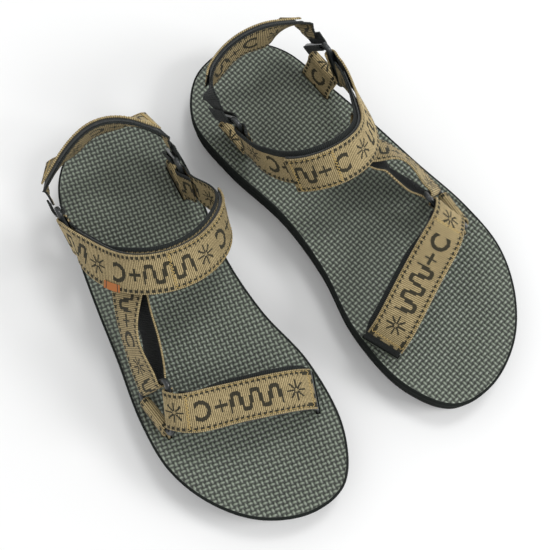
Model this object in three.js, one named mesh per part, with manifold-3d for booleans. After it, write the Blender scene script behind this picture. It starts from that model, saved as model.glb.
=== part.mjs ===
import * as THREE from 'three';
import { mergeVertices } from 'three/addons/utils/BufferGeometryUtils.js';
import Module from 'manifold-3d';

// A pair of strappy sport sandals standing side by side. Millimetres, +Z up, z = 0 is the ground.
// Each sandal is laid out in its own sole frame: x towards the outer side of the foot, y towards the
// toes, and the left sandal is the mirror image of the right one.

const wasm = await Module();
wasm.setup();

// ---- Driving dimensions -------------------------------------------------------------------------

const SOLE_LENGTH = 285;
const SOLE_WIDTH = 113;
const OUTSOLE_THICKNESS = 6;
const MIDSOLE_THICKNESS = 13;
const FOOTBED_THICKNESS = 7;
const MIDSOLE_INSET = 1;
const SOLE_TAPER = 2;
const JOINT_LINE = 0.3;

const TREAD_PITCH = 15;
const TREAD_GROOVE_WIDTH = 4;
const TREAD_GROOVE_DEPTH = 2.5;

const WEBBING_WIDTH = 25;
const WEBBING_THICKNESS = 1.6;
const PATCH_THICKNESS = 0.6;
const LAYER_GAP = 0.3;
const SLOT_CLEARANCE = 0.6;
const SLOT_RIM = 3;
const TUCK_CLEARANCE = 1.1;

const RING_WIRE = 3.6;
const RING_CORNER = 3;
const RING_SIDE_CLEARANCE = 0.4;

const TOE_ARCH = 30;
const INSTEP_ARCH = 61;
const HEEL_RISE = 53;

const KEEPER_LENGTH = 8;
const KEEPER_PIVOT = 7;
const STRAP_END_START = 5;
const STRAP_END_CHAMFER = 6;

const LABEL_LENGTH = 12;
const LABEL_WIDTH = 5;
const LABEL_THICKNESS = 0.5;
const LABEL_SHARE = 0.7;

// ---- Derived sizes ------------------------------------------------------------------------------

const MIDSOLE_BASE = OUTSOLE_THICKNESS + JOINT_LINE;
const FOOTBED_BASE = MIDSOLE_BASE + MIDSOLE_THICKNESS + JOINT_LINE;
const FOOTBED_TOP = FOOTBED_BASE + FOOTBED_THICKNESS;
const SLOT_LENGTH = WEBBING_WIDTH + 2 * SLOT_CLEARANCE;
const SLOT_OPENING = WEBBING_THICKNESS + 2 * SLOT_CLEARANCE;
const WIRE_RADIUS = RING_WIRE / 2;
const FOLD_RADIUS = WIRE_RADIUS + LAYER_GAP + WEBBING_THICKNESS / 2;
const FOLD_OUTSIDE = FOLD_RADIUS + WEBBING_THICKNESS / 2;
const RING_SIDE = WEBBING_WIDTH + 2 * (FOLD_OUTSIDE * Math.sqrt(3) + RING_SIDE_CLEARANCE);
const RING_REACH = RING_SIDE / (2 * Math.sqrt(3));
const PATCH_LIFT = WEBBING_THICKNESS / 2 + LAYER_GAP + PATCH_THICKNESS / 2;
const HOOK_LIFT = PATCH_LIFT + PATCH_THICKNESS + LAYER_GAP;
const TAB_LIFT = HOOK_LIFT + PATCH_THICKNESS / 2 + LAYER_GAP + WEBBING_THICKNESS / 2;

// ---- Materials ----------------------------------------------------------------------------------

function finish(color, roughness, metalness = 0) {
  return () => new THREE.MeshStandardMaterial({ color, roughness, metalness });
}

const MATERIALS = {
  rubber: finish(0x17191a, 0.8),
  foam: finish(0x24282a, 0.85),
  footbed: finish(0x454f4b, 0.7),
  jacquard: finish(0xa6956b, 0.85),
  webbing: finish(0x2b3132, 0.85),
  hook: finish(0x131617, 0.95),
  plastic: finish(0x202426, 0.3),
  label: finish(0xb86a35, 0.6),
};

// ---- Solids -------------------------------------------------------------------------------------

const vec = (x, y, z) => new THREE.Vector3(x, y, z);

function closedGeometry(positions, triangles) {
  const geometry = new THREE.BufferGeometry();
  const numbers = positions.flatMap((p) => p.toArray());
  geometry.setAttribute('position', new THREE.Float32BufferAttribute(numbers, 3));
  geometry.setIndex(triangles.flat());
  return facingOut(geometry);
}

function facingOut(geometry) {
  const at = geometry.attributes.position;
  const index = geometry.index.array;
  const [a, b, c] = [vec(0, 0, 0), vec(0, 0, 0), vec(0, 0, 0)];
  let volume = 0;
  for (let i = 0; i < index.length; i += 3) {
    a.fromBufferAttribute(at, index[i]);
    b.fromBufferAttribute(at, index[i + 1]);
    c.fromBufferAttribute(at, index[i + 2]);
    volume += a.dot(b.cross(c));
  }
  if (volume < 0) {
    geometry.setIndex(Array.from(index).reverse());
  }
  return geometry;
}

function toManifold(geometry) {
  const bare = geometry.clone();
  bare.deleteAttribute('normal');
  bare.deleteAttribute('uv');
  const merged = mergeVertices(bare, 1e-4);
  const vertProperties = Float32Array.from(merged.attributes.position.array);
  const triVerts = Uint32Array.from(merged.index.array);
  return new wasm.Manifold(new wasm.Mesh({ numProp: 3, vertProperties, triVerts }));
}

function fromManifold(solid) {
  const mesh = solid.getMesh();
  const geometry = new THREE.BufferGeometry();
  const numbers = Float32Array.from(mesh.vertProperties);
  geometry.setAttribute('position', new THREE.BufferAttribute(numbers, 3));
  geometry.setIndex(Array.from(mesh.triVerts));
  return geometry;
}

function cutAway(geometry, tools) {
  const solid = tools.reduce((left, tool) => left.subtract(toManifold(tool)), toManifold(geometry));
  return fromManifold(solid);
}

// ---- Sole ---------------------------------------------------------------------------------------

// Points round the sole as shares of its width and length, from the heel along the outer side.
const OUTLINE_SHARES = [
  [0.015, -0.498], [0.205, -0.474], [0.34, -0.405], [0.4, -0.265], [0.44, -0.13],
  [0.47, 0.01], [0.507, 0.155], [0.485, 0.28], [0.355, 0.387], [0.155, 0.464],
  [-0.105, 0.5], [-0.325, 0.48], [-0.465, 0.375], [-0.472, 0.21], [-0.376, 0.058],
  [-0.34, -0.095], [-0.385, -0.275], [-0.36, -0.405], [-0.18, -0.484],
];
const OUTLINE_STEPS = 76;

function soleOutline(inset) {
  const points = OUTLINE_SHARES.map(([across, along]) => vec(across * SOLE_WIDTH, along * SOLE_LENGTH, 0));
  const curve = new THREE.CatmullRomCurve3(points, true, 'centripetal');
  const samples = curve.getSpacedPoints(OUTLINE_STEPS).slice(0, OUTLINE_STEPS);
  return samples.map((point, i) => {
    const next = samples[(i + 1) % samples.length];
    const previous = samples[(i + samples.length - 1) % samples.length];
    const along = next.clone().sub(previous).normalize();
    return new THREE.Vector2(point.x - along.y * inset, point.y + along.x * inset);
  });
}

function slab(lower, upper, base, top) {
  const count = lower.length;
  const ring = (outline, z) => outline.map((p) => vec(p.x, p.y, z));
  const positions = [...ring(lower, base), ...ring(upper, top)];
  const cap = THREE.ShapeUtils.triangulateShape(upper, []);
  const triangles = [];
  for (const [a, b, c] of cap) {
    triangles.push([a + count, b + count, c + count], [c, b, a]);
  }
  for (let i = 0; i < count; i += 1) {
    const j = (i + 1) % count;
    triangles.push([i, j, j + count], [i, j + count, i + count]);
  }
  return closedGeometry(positions, triangles);
}

function block(width, depth, height, centre, turn) {
  const geometry = new THREE.BoxGeometry(width, depth, height);
  geometry.rotateZ(turn);
  geometry.translate(centre.x, centre.y, centre.z);
  return geometry;
}

function outsole() {
  const [ground, joint] = [soleOutline(MIDSOLE_INSET + SOLE_TAPER), soleOutline(MIDSOLE_INSET)];
  const body = slab(ground, joint, 0, OUTSOLE_THICKNESS);
  const grooves = [];
  const count = Math.floor(SOLE_LENGTH / TREAD_PITCH) - 1;
  for (let i = 0; i < count; i += 1) {
    const y = (i - (count - 1) / 2) * TREAD_PITCH;
    grooves.push(block(2 * SOLE_WIDTH, TREAD_GROOVE_WIDTH, 2 * TREAD_GROOVE_DEPTH, vec(0, y, 0), 0));
  }
  return cutAway(body, grooves);
}

function midsole() {
  const top = MIDSOLE_BASE + MIDSOLE_THICKNESS;
  return slab(soleOutline(MIDSOLE_INSET), soleOutline(0), MIDSOLE_BASE, top);
}

function footbed(slots) {
  const body = slab(soleOutline(0), soleOutline(0), FOOTBED_BASE, FOOTBED_TOP);
  const throughHeight = 3 * FOOTBED_THICKNESS;
  const tools = slots.map((slot) => {
    const centre = vec(slot.x, slot.y, FOOTBED_TOP);
    return block(SLOT_LENGTH, SLOT_OPENING, throughHeight, centre, slot.turn);
  });
  return cutAway(body, tools);
}

// ---- Webbing ------------------------------------------------------------------------------------

// A frame on a strap holds the centre of its section, the direction across its width and the
// direction out of its outer face.
function frame(centre, across, out) {
  return { centre, across: across.clone().normalize(), out: out.clone().normalize() };
}

const STRAP_STEP = 3.5;
const EASE_ROUNDS = 400;
const EASE_SHARE = 0.4;

function splineFrames(stations) {
  const centres = new THREE.CatmullRomCurve3(stations.map((s) => s.centre), false, 'centripetal');
  const widths = new THREE.CatmullRomCurve3(stations.map((s) => s.across), false, 'catmullrom');
  const count = Math.max(3, Math.round(centres.getLength() / STRAP_STEP));
  const frames = [];
  for (let i = 0; i <= count; i += 1) {
    const t = centres.getUtoTmapping(i / count);
    const along = centres.getTangent(t);
    const across = widths.getPoint(t);
    across.addScaledVector(along, -across.dot(along)).normalize();
    frames.push(frame(centres.getPoint(t), across, along.clone().cross(across)));
  }
  return frames;
}

// Webbing resists bending: each frame is eased towards its neighbours, except for the held frames at
// the two ends, until the route has no sharp bend.
function eased(frames, heldStart, heldEnd) {
  const centres = frames.map((f) => f.centre.clone());
  const widths = frames.map((f) => f.across.clone());
  const stop = frames.length - Math.max(2, heldEnd);
  for (let round = 0; round < EASE_ROUNDS; round += 1) {
    for (const row of [centres, widths]) {
      for (let i = Math.max(2, heldStart); i < stop; i += 1) {
        const near = row[i - 1].clone().add(row[i + 1]).multiplyScalar(4);
        const eased = near.sub(row[i - 2]).sub(row[i + 2]).divideScalar(6);
        row[i].lerp(eased, EASE_SHARE);
      }
    }
  }
  return frames.map((f, i) => {
    if (i < heldStart || i >= frames.length - heldEnd) {
      return f;
    }
    const along = centres[i + 1].clone().sub(centres[i - 1]).normalize();
    const across = widths[i].addScaledVector(along, -widths[i].dot(along)).normalize();
    return frame(centres[i], across, along.cross(across));
  });
}

// A flat band along the frames. Both faces are split along the same diagonals, so that two bands on
// the same frames never meet.
function ribbon(frames, thickness, widthAt) {
  const positions = [];
  const triangles = [];
  frames.forEach((f, i) => {
    const half = widthAt(i) / 2;
    for (const [side, face] of [[-1, -1], [1, -1], [1, 1], [-1, 1]]) {
      const corner = f.centre.clone().addScaledVector(f.across, side * half);
      positions.push(corner.addScaledVector(f.out, (face * thickness) / 2));
    }
  });
  const last = (frames.length - 1) * 4;
  triangles.push([0, 1, 2], [0, 2, 3], [last, last + 2, last + 1], [last, last + 3, last + 2]);
  for (let i = 0; i < last; i += 4) {
    for (let k = 0; k < 4; k += 1) {
      const m = (k + 1) % 4;
      const [near, far] = [i + k, i + 4 + k];
      const [nearNext, farNext] = [i + m, i + 4 + m];
      if (k === 2) {
        triangles.push([near, far, nearNext], [far, farNext, nearNext]);
      } else {
        triangles.push([near, far, farNext], [near, farNext, nearNext]);
      }
    }
  }
  return closedGeometry(positions, triangles);
}

function webbing(frames) {
  return ribbon(frames, WEBBING_THICKNESS, () => WEBBING_WIDTH);
}

function lengths(frames) {
  const along = [0];
  for (let i = 1; i < frames.length; i += 1) {
    along.push(along[i - 1] + frames[i].centre.distanceTo(frames[i - 1].centre));
  }
  return along;
}

function frameAt(frames, distance) {
  const along = lengths(frames);
  const clamped = THREE.MathUtils.clamp(distance, 0, along[along.length - 1]);
  let i = 0;
  while (i < frames.length - 2 && along[i + 1] < clamped) {
    i += 1;
  }
  const share = (clamped - along[i]) / (along[i + 1] - along[i]);
  const mix = (a, b) => a.clone().lerp(b, share);
  const [a, b] = [frames[i], frames[i + 1]];
  return frame(mix(a.centre, b.centre), mix(a.across, b.across), mix(a.out, b.out));
}

// The frames nearest two distances along a strap and all between them, lifted off its centre line by
// lift(distance). Layers keep the strap's own sections, so that they lie parallel.
function layer(frames, from, to, lift) {
  const along = lengths(frames);
  const nearest = (distance) => {
    const misses = along.map((d) => Math.abs(d - distance));
    return misses.indexOf(Math.min(...misses));
  };
  const [first, last] = [nearest(Math.min(from, to)), nearest(Math.max(from, to))];
  const places = frames.slice(first, last + 1).map((f, i) => {
    const centre = f.centre.clone().addScaledVector(f.out, lift(along[first + i]));
    return frame(centre, f.across, f.out);
  });
  return from > to ? places.reverse() : places;
}

function totalLength(frames) {
  return lengths(frames)[frames.length - 1];
}

// ---- Rings --------------------------------------------------------------------------------------

const FOLD_STEPS = 8;

// A triangular ring: toeward and upward span its plane, and out is its outer side.
function ringFrame(centre, lean, side, turn) {
  const toeward = vec(0, 1, 0);
  const upward = vec(-side * Math.sin(lean), 0, Math.cos(lean));
  const out = vec(side * Math.cos(lean), 0, Math.sin(lean));
  return { centre, toeward, upward, out, turn };
}

function inPlane(ring, angle) {
  const toeward = ring.toeward.clone().multiplyScalar(Math.cos(angle));
  return toeward.addScaledVector(ring.upward, Math.sin(angle));
}

// One bar of the ring: the strap on it leaves in the direction away.
function ringBar(ring, index) {
  const angle = ring.turn - (index * 2 * Math.PI) / 3;
  const away = inPlane(ring, angle);
  const centre = ring.centre.clone().addScaledVector(away, RING_REACH);
  return { centre, away, out: ring.out, across: ring.out.clone().cross(away) };
}

function barPoint(bar, away, out) {
  const point = bar.centre.clone().addScaledVector(bar.away, away);
  return point.addScaledVector(bar.out, out);
}

// Frames of a half turn round the bar, from the side given to the opposite one.
function fold(bar, side, across) {
  const frames = [];
  for (let i = 0; i <= FOLD_STEPS; i += 1) {
    const angle = (Math.PI * i) / FOLD_STEPS;
    const out = bar.out.clone().multiplyScalar(side * Math.cos(angle));
    out.addScaledVector(bar.away, -Math.sin(angle));
    const centre = bar.centre.clone().addScaledVector(out, FOLD_RADIUS);
    frames.push(frame(centre, across, out));
  }
  return frames;
}

const RING_SECTION = 8;
const RING_CORNER_STEPS = 4;

function ringSolid(ring) {
  const path = [];
  const cornerReach = RING_SIDE / Math.sqrt(3) - RING_CORNER / Math.sin(Math.PI / 6);
  for (let k = 0; k < 3; k += 1) {
    const facing = ring.turn + Math.PI / 3 + (k * 2 * Math.PI) / 3;
    const middle = ring.centre.clone().addScaledVector(inPlane(ring, facing), cornerReach);
    for (let i = 0; i <= RING_CORNER_STEPS; i += 1) {
      const angle = facing + (i / RING_CORNER_STEPS - 0.5) * ((2 * Math.PI) / 3);
      const away = inPlane(ring, angle);
      path.push({ centre: middle.clone().addScaledVector(away, RING_CORNER), away });
    }
  }
  const positions = [];
  const triangles = [];
  path.forEach((p, i) => {
    for (let k = 0; k < RING_SECTION; k += 1) {
      const angle = (2 * Math.PI * (k + 0.5)) / RING_SECTION;
      const point = p.centre.clone().addScaledVector(p.away, WIRE_RADIUS * Math.cos(angle));
      positions.push(point.addScaledVector(ring.out, WIRE_RADIUS * Math.sin(angle)));
    }
    const here = i * RING_SECTION;
    const next = ((i + 1) % path.length) * RING_SECTION;
    for (let k = 0; k < RING_SECTION; k += 1) {
      const m = (k + 1) % RING_SECTION;
      triangles.push([here + k, next + k, next + m], [here + k, next + m, here + m]);
    }
  });
  return closedGeometry(positions, triangles);
}

// ---- Strap layout -------------------------------------------------------------------------------

// A station is a place on a strap's centre line: shares of the sole's width and length, a share of
// the arch above the footbed, and the direction across the webbing.
function station([across, along, rise], arch, width) {
  const centre = vec(across * SOLE_WIDTH, along * SOLE_LENGTH, FOOTBED_TOP + rise * arch);
  return { centre, across: vec(...width) };
}

function toeSlot() {
  const [across, along] = TOE_SLOT.at;
  return { x: across * SOLE_WIDTH, y: along * SOLE_LENGTH, turn: TOE_SLOT.turn };
}

// The slot of an anchor lies below its bar, a share of the way to where the bar's plane meets the footbed.
function slotBelow(bar) {
  const reach = (SLOT_PULL * (bar.centre.z - FOOTBED_TOP)) / -bar.away.z;
  const foot = barPoint(bar, reach, -FOLD_RADIUS);
  const flat = bar.across.clone().multiplyScalar(Math.sign(bar.across.y));
  return movedInside({ x: foot.x, y: foot.y, turn: Math.atan2(flat.y, flat.x) });
}

// The slot, moved straight inwards until a rim of foam is left between it and the sole's edge.
function movedInside(slot) {
  const outline = soleOutline(SLOT_RIM);
  const moved = { ...slot };
  while (!slotCorners(moved).every((corner) => encloses(outline, corner))) {
    moved.x -= Math.sign(slot.x) * SLOT_SHIFT;
  }
  return moved;
}

function slotCorners({ x, y, turn }) {
  const corners = [[1, 1], [1, -1], [-1, -1], [-1, 1]];
  return corners.map(([lengthwise, across]) => {
    const corner = new THREE.Vector2((lengthwise * SLOT_LENGTH) / 2, (across * SLOT_OPENING) / 2);
    return corner.rotateAround(new THREE.Vector2(0, 0), turn).add(new THREE.Vector2(x, y));
  });
}

// Whether a point lies within a plane loop: it crosses an odd number of edges on its way out.
function encloses(loop, point) {
  const crossings = loop.filter((a, i) => {
    const b = loop[(i + 1) % loop.length];
    const level = (point.y - a.y) / (b.y - a.y);
    return a.y > point.y !== b.y > point.y && point.x < a.x + level * (b.x - a.x);
  });
  return crossings.length % 2 === 1;
}

function slotStations(slot, upwardAcross) {
  const at = (z) => ({ centre: vec(slot.x, slot.y, z), across: upwardAcross });
  return [at(FOOTBED_BASE + LAYER_GAP), at(FOOTBED_TOP - SLOT_RUN), at(FOOTBED_TOP + SLOT_RUN)];
}

const QUARTER = Math.PI / 2;
const DEGREE = Math.PI / 180;

// Where each sandal's rings and straps lie. The two differ a little, as worn straps do.
const LAYOUTS = {
  right: {
    mirror: 1,
    place: [-53.5, -35.2],
    turn: -152.2,
    frontRing: { at: [0.363, 0.15, 20], lean: 30, turn: 170 },
    heelBar: { along: -0.325, rise: 29 },
    outerRing: [0.38, 165],
    innerRing: [-0.315, 145],
    toe: [
      [[-0.38, 0.272, 0.62], [0.31, 0.95, 0]],
      [[-0.25, 0.258, 0.93], [0.31, 0.95, 0]],
      [[-0.115, 0.245, 1], [0.31, 0.95, 0]],
      [[0.14, 0.215, 0.96], [0.36, 0.93, 0]],
    ],
    toeTabShare: 0.78,
    instep: [
      [[-0.4, -0.205, 0.49], [0.2, 0.55, -0.8]],
      [[-0.39, -0.14, 0.62], [0.15, 0.75, -0.62]],
      [[-0.25, -0.08, 0.83], [0.2, 0.82, -0.55]],
      [[-0.07, -0.06, 0.98], [0.15, 0.83, -0.53]],
      [[0.08, -0.072, 1], [0.2, 0.8, -0.55]],
      [[0.21, -0.112, 0.88], [0.35, 0.7, -0.6]],
      [[0.315, -0.178, 0.7], [0.3, 0.8, -0.5]],
    ],
    instepTabShare: 0.86,
    sideTuckShare: 0.72,
    label: true,
    heel: [
      [[-0.235, -0.376, 0.92], [0.15, 0.15, 1]],
      [[-0.165, -0.396, 1], [0.05, 0.2, 1]],
      [[-0.08, -0.415, 1.01], [0, 0.25, 1]],
      [[0.03, -0.422, 1.01], [0, 0.25, 1]],
      [[0.135, -0.41, 0.98], [0, 0.2, 1]],
      [[0.24, -0.384, 0.88], [-0.1, 0.15, 1]],
    ],
    side: [
      [[0.32, -0.03, 37], [-0.45, 0.25, 0.85]],
      [[0.365, 0.045, 27], [-0.35, 0.1, 0.93]],
    ],
  },
  left: {
    mirror: -1,
    place: [51.2, 37],
    turn: -139.5,
    frontRing: { at: [0.352, 0.134, 20], lean: 30, turn: 175 },
    heelBar: { along: -0.322, rise: 34 },
    outerRing: [0.4, 150],
    innerRing: [-0.265, 145],
    toe: [
      [[-0.4, 0.282, 0.62], [0.31, 0.95, 0]],
      [[-0.26, 0.262, 0.93], [0.31, 0.95, 0]],
      [[-0.12, 0.24, 1], [0.31, 0.95, 0]],
      [[0.12, 0.203, 0.96], [0.36, 0.93, 0]],
    ],
    toeTabShare: 0.78,
    instep: [
      [[-0.29, -0.21, 0.5], [-0.1, 0.3, -0.95]],
      [[-0.255, -0.145, 0.7], [-0.2, 0.4, -0.9]],
      [[-0.19, -0.095, 0.88], [-0.2, 0.5, -0.85]],
      [[-0.055, -0.06, 1], [-0.2, 0.65, -0.73]],
      [[0.09, -0.056, 0.95], [-0.15, 0.72, -0.7]],
      [[0.22, -0.078, 0.8], [0, 0.7, -0.7]],
      [[0.305, -0.135, 0.66], [0.25, 0.4, -0.9]],
      [[0.36, -0.195, 0.57], [0.1, 0.1, -1]],
    ],
    instepTabShare: 0.72,
    sideTuckShare: 0.66,
    label: false,
    heel: [
      [[-0.2, -0.38, 0.78], [0, 0, 1]],
      [[-0.09, -0.405, 0.9], [0, 0, 1]],
      [[0.05, -0.408, 0.97], [0, 0, 1]],
      [[0.17, -0.388, 0.98], [0, 0, 1]],
      [[0.29, -0.365, 0.9], [0, 0, 1]],
    ],
    side: [
      [[0.33, -0.03, 36], [-0.45, 0.25, 0.85]],
      [[0.345, 0.035, 27], [-0.35, 0.1, 0.93]],
    ],
  },
};

const TOE_SLOT = { at: [-0.415, 0.276], turn: QUARTER - 18 * DEGREE };

const REAR = 0;
const OVER = 1;
const DOWN = 2;

const PATCH_START = 13;
const PATCH_MARGIN = 3;
const TOE_PATCH_SPARE = 6;
const SETTLE_LENGTH = 10;
const RETURN_LENGTH = 10;
const RETURN_STOP = 3;
const HEEL_LAYER_START = 20;
const SIDE_TUCK = 9;
const NEAR_BAR = 6;
const LEAD_LENGTH = 3;
const HEEL_LEAD_START = 1;
const HEEL_LEAD = 7;
const HEEL_HELD = 5;
const SLOT_HELD = 3;
const BAR_HELD = 3;
const TUCK_HELD = 6;
const SLOT_PULL = 0.6;
const SLOT_SHIFT = 0.25;
const SLOT_RUN = 2;

function rings(layout) {
  const [across, along, rise] = layout.frontRing.at;
  const frontCentre = vec(across * SOLE_WIDTH, along * SOLE_LENGTH, FOOTBED_TOP + rise);
  const front = ringFrame(frontCentre, layout.frontRing.lean * DEGREE, 1, layout.frontRing.turn * DEGREE);
  const rear = ([shareAcross, turn], side) => {
    const ring = ringFrame(vec(0, 0, 0), 0, side, turn * DEGREE);
    const reach = inPlane(ring, ring.turn).multiplyScalar(RING_REACH);
    const { along: shareAlong, rise: barRise } = layout.heelBar;
    const bar = vec(shareAcross * SOLE_WIDTH, shareAlong * SOLE_LENGTH, FOOTBED_TOP + barRise);
    ring.centre = bar.sub(reach);
    return ring;
  };
  return { front, outer: rear(layout.outerRing, 1), inner: rear(layout.innerRing, -1) };
}

// The lift of a folded-back layer: twice the fold radius at the bar, settling to its resting lift.
function settle(fromBar, rest) {
  const share = THREE.MathUtils.clamp(fromBar / SETTLE_LENGTH, 0, 1);
  return THREE.MathUtils.lerp(2 * FOLD_RADIUS, rest, THREE.MathUtils.smoothstep(share, 0, 1));
}

// A strap whose last frame lies on one side of a bar: round the bar and a stitched-down return.
function loopEnd(strap, bar, side, returnLength) {
  const frames = strap.map((f) => frame(f.centre, f.across, f.out.clone().multiplyScalar(side)));
  const total = totalLength(frames);
  const turn = fold(bar, side, frames[frames.length - 1].across).slice(1);
  const rest = WEBBING_THICKNESS + LAYER_GAP;
  const back = layer(frames, total, total - returnLength, (d) => -settle(total - d, rest));
  for (const f of back) {
    f.out.negate();
  }
  return [...frames, ...turn, ...back.slice(1)];
}

// The straight stretch that leads to a bar, on its outer side (1) or inner side (-1).
function leadIn(bar, side, across) {
  const at = (away) => ({ centre: barPoint(bar, away, side * FOLD_RADIUS), across });
  return [at(NEAR_BAR + LEAD_LENGTH), at(NEAR_BAR)];
}

function atBar(bar, side, across) {
  const at = (away) => frame(barPoint(bar, away, side * FOLD_RADIUS), across, bar.out);
  return [at(NEAR_BAR / 2), at(0)];
}

// An anchor rises from its slot along the bar's inner side and returns over its outer side.
function anchorStrap(slot, bar) {
  const lengthwise = vec(Math.cos(slot.turn), Math.sin(slot.turn), 0);
  const upward = lengthwise.multiplyScalar(-Math.sign(slot.x));
  const across = bar.across.clone().negate();
  const nearBar = { centre: barPoint(bar, NEAR_BAR / 2, -FOLD_RADIUS), across };
  const stations = [...slotStations(slot, upward), nearBar];
  const route = [...splineFrames(stations), frame(barPoint(bar, 0, -FOLD_RADIUS), across, bar.out)];
  const main = eased(route, SLOT_HELD, 2);
  const exposed = totalLength(main) - FOOTBED_THICKNESS - SLOT_CLEARANCE;
  return loopEnd(main, bar, -1, Math.min(RETURN_LENGTH, exposed - RETURN_STOP));
}

// The layers of a strap that passes through a ring and closes on itself with hook and loop.
function closure(route, bar, tabShare, patchSpare) {
  const total = totalLength(route);
  const tabLength = tabShare * total;
  const across = route[route.length - 1].across;
  const tab = [
    ...fold(bar, -1, across),
    ...layer(route, total, total - tabLength, (d) => settle(total - d, TAB_LIFT)).slice(1),
  ];
  const patch = (lift, spare) => layer(route, total - tabLength - spare, total - PATCH_START, () => lift);
  return {
    base: layer(route, 0, total - NEAR_BAR, () => 0),
    loopPatch: patch(PATCH_LIFT, patchSpare),
    hookPatch: patch(HOOK_LIFT, -PATCH_MARGIN),
    tab: tab.reverse(),
  };
}

// A tab that peels open from the crest of its arch: the free part, and the part held on the strap.
function peeled({ tab, hookPatch }) {
  const crest = highest(tab);
  const next = tab[crest + 1];
  const share = LAYER_GAP / tab[crest].centre.distanceTo(next.centre);
  const mix = (key) => tab[crest][key].clone().lerp(next[key], share);
  return {
    free: tab.slice(0, crest + 1),
    held: [frame(mix('centre'), mix('across'), mix('out')), ...tab.slice(crest + 1)],
    hookPatch: hookPatch.slice(0, highest(hookPatch)),
  };
}

function highest(frames) {
  const heights = frames.map((f) => f.centre.z);
  return heights.indexOf(Math.max(...heights));
}

function patchSolid(frames) {
  return ribbon(frames, PATCH_THICKNESS, () => WEBBING_WIDTH);
}

function toeRoute(layout, slot, bar) {
  const upward = vec(Math.cos(slot.turn), Math.sin(slot.turn), 0);
  const across = bar.across.clone().negate();
  const stations = [
    ...slotStations(slot, upward),
    ...layout.toe.map(([place, width]) => station(place, TOE_ARCH, width)),
    ...leadIn(bar, -1, across),
  ];
  return eased([...splineFrames(stations), ...atBar(bar, -1, across)], SLOT_HELD, BAR_HELD);
}

function instepRoute(layout, innerBar, outerBar) {
  const leaving = innerBar.across;
  const arriving = outerBar.across.clone().negate();
  const stations = [
    ...leadIn(innerBar, 1, leaving).reverse(),
    ...layout.instep.map(([place, width]) => station(place, INSTEP_ARCH, width)),
    ...leadIn(outerBar, -1, arriving),
  ];
  const start = atBar(innerBar, 1, leaving).reverse();
  const route = [...start, ...splineFrames(stations), ...atBar(outerBar, -1, arriving)];
  return eased(route, BAR_HELD, BAR_HELD);
}

const HEEL_PLANE = FOLD_RADIUS - WEBBING_THICKNESS - LAYER_GAP;

function heelRoute(layout, innerBar, outerBar) {
  const leaving = innerBar.across;
  const arriving = outerBar.across.clone().negate();
  const end = (bar, across, away) => frame(barPoint(bar, away, HEEL_PLANE), across, bar.out);
  const chamferEnd = STRAP_END_START + STRAP_END_CHAMFER / 2;
  const straight = (bar, across) => [HEEL_LEAD_START, HEEL_LEAD_START + HEEL_LEAD].map((past) => {
    return { centre: barPoint(bar, KEEPER_LENGTH + past, HEEL_PLANE), across };
  });
  const stations = [
    ...straight(innerBar, leaving),
    ...layout.heel.map(([place, width]) => station(place, HEEL_RISE, width)),
    ...straight(outerBar, arriving).reverse(),
  ];
  const route = [
    end(innerBar, leaving, STRAP_END_START),
    end(innerBar, leaving, chamferEnd),
    ...splineFrames(stations),
    end(outerBar, arriving, chamferEnd),
    end(outerBar, arriving, STRAP_END_START),
  ];
  return eased(route, HEEL_HELD, HEEL_HELD);
}

function heelStrapSolid(frames) {
  const along = lengths(frames);
  const total = along[along.length - 1];
  const width = (i) => {
    const fromEnd = Math.min(along[i], total - along[i]);
    return WEBBING_WIDTH - 2 * Math.max(0, STRAP_END_CHAMFER - fromEnd);
  };
  return ribbon(frames, WEBBING_THICKNESS, width);
}

function keeper(bar) {
  const at = (away, side) => {
    const out = bar.out.clone().multiplyScalar(side);
    return frame(barPoint(bar, away, side * FOLD_RADIUS), bar.across, out);
  };
  const lead = [at(KEEPER_LENGTH, 1), at(KEEPER_LENGTH / 2, 1)];
  return [...lead, ...fold(bar, 1, bar.across), at(WIRE_RADIUS + LAYER_GAP, -1)];
}

// How far a strap's surface falls away within half a webbing width of a place on it.
function sag(frames, distance) {
  const f = frameAt(frames, distance);
  const drops = [];
  for (const along of [-1, -0.5, 0, 0.5, 1]) {
    const other = frameAt(frames, distance + (along * WEBBING_WIDTH) / 2);
    for (const across of [-1, -0.5, 0, 0.5, 1]) {
      const aside = (across * WEBBING_WIDTH) / 2;
      const point = other.centre.clone().addScaledVector(other.across, aside);
      drops.push(f.centre.clone().sub(point).dot(f.out));
    }
  }
  return Math.max(0, ...drops);
}

function sideStrap(layout, instep, tuckAt, bar) {
  const under = frameAt(instep, tuckAt * totalLength(instep));
  const drop = WEBBING_THICKNESS + TUCK_CLEARANCE + sag(instep, tuckAt * totalLength(instep));
  const width = instepDirection(instep, tuckAt).negate();
  const below = under.centre.clone().addScaledVector(under.out, -drop);
  const tucked = (along) => below.clone().addScaledVector(under.across, along);
  const across = bar.across.clone().negate();
  const stations = [
    { centre: tucked(-SIDE_TUCK), across: width },
    { centre: tucked(SIDE_TUCK), across: width },
    ...layout.side.map(([place, lean]) => station(place, 1, lean)),
    ...leadIn(bar, 1, across),
  ];
  return eased([...splineFrames(stations), ...atBar(bar, 1, across)], TUCK_HELD, BAR_HELD);
}

function instepDirection(frames, share) {
  const total = totalLength(frames);
  const ahead = frameAt(frames, share * total + STRAP_STEP).centre;
  return ahead.sub(frameAt(frames, share * total - STRAP_STEP).centre).normalize();
}

const INNER_LEG_BULGE = 9;

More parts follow.
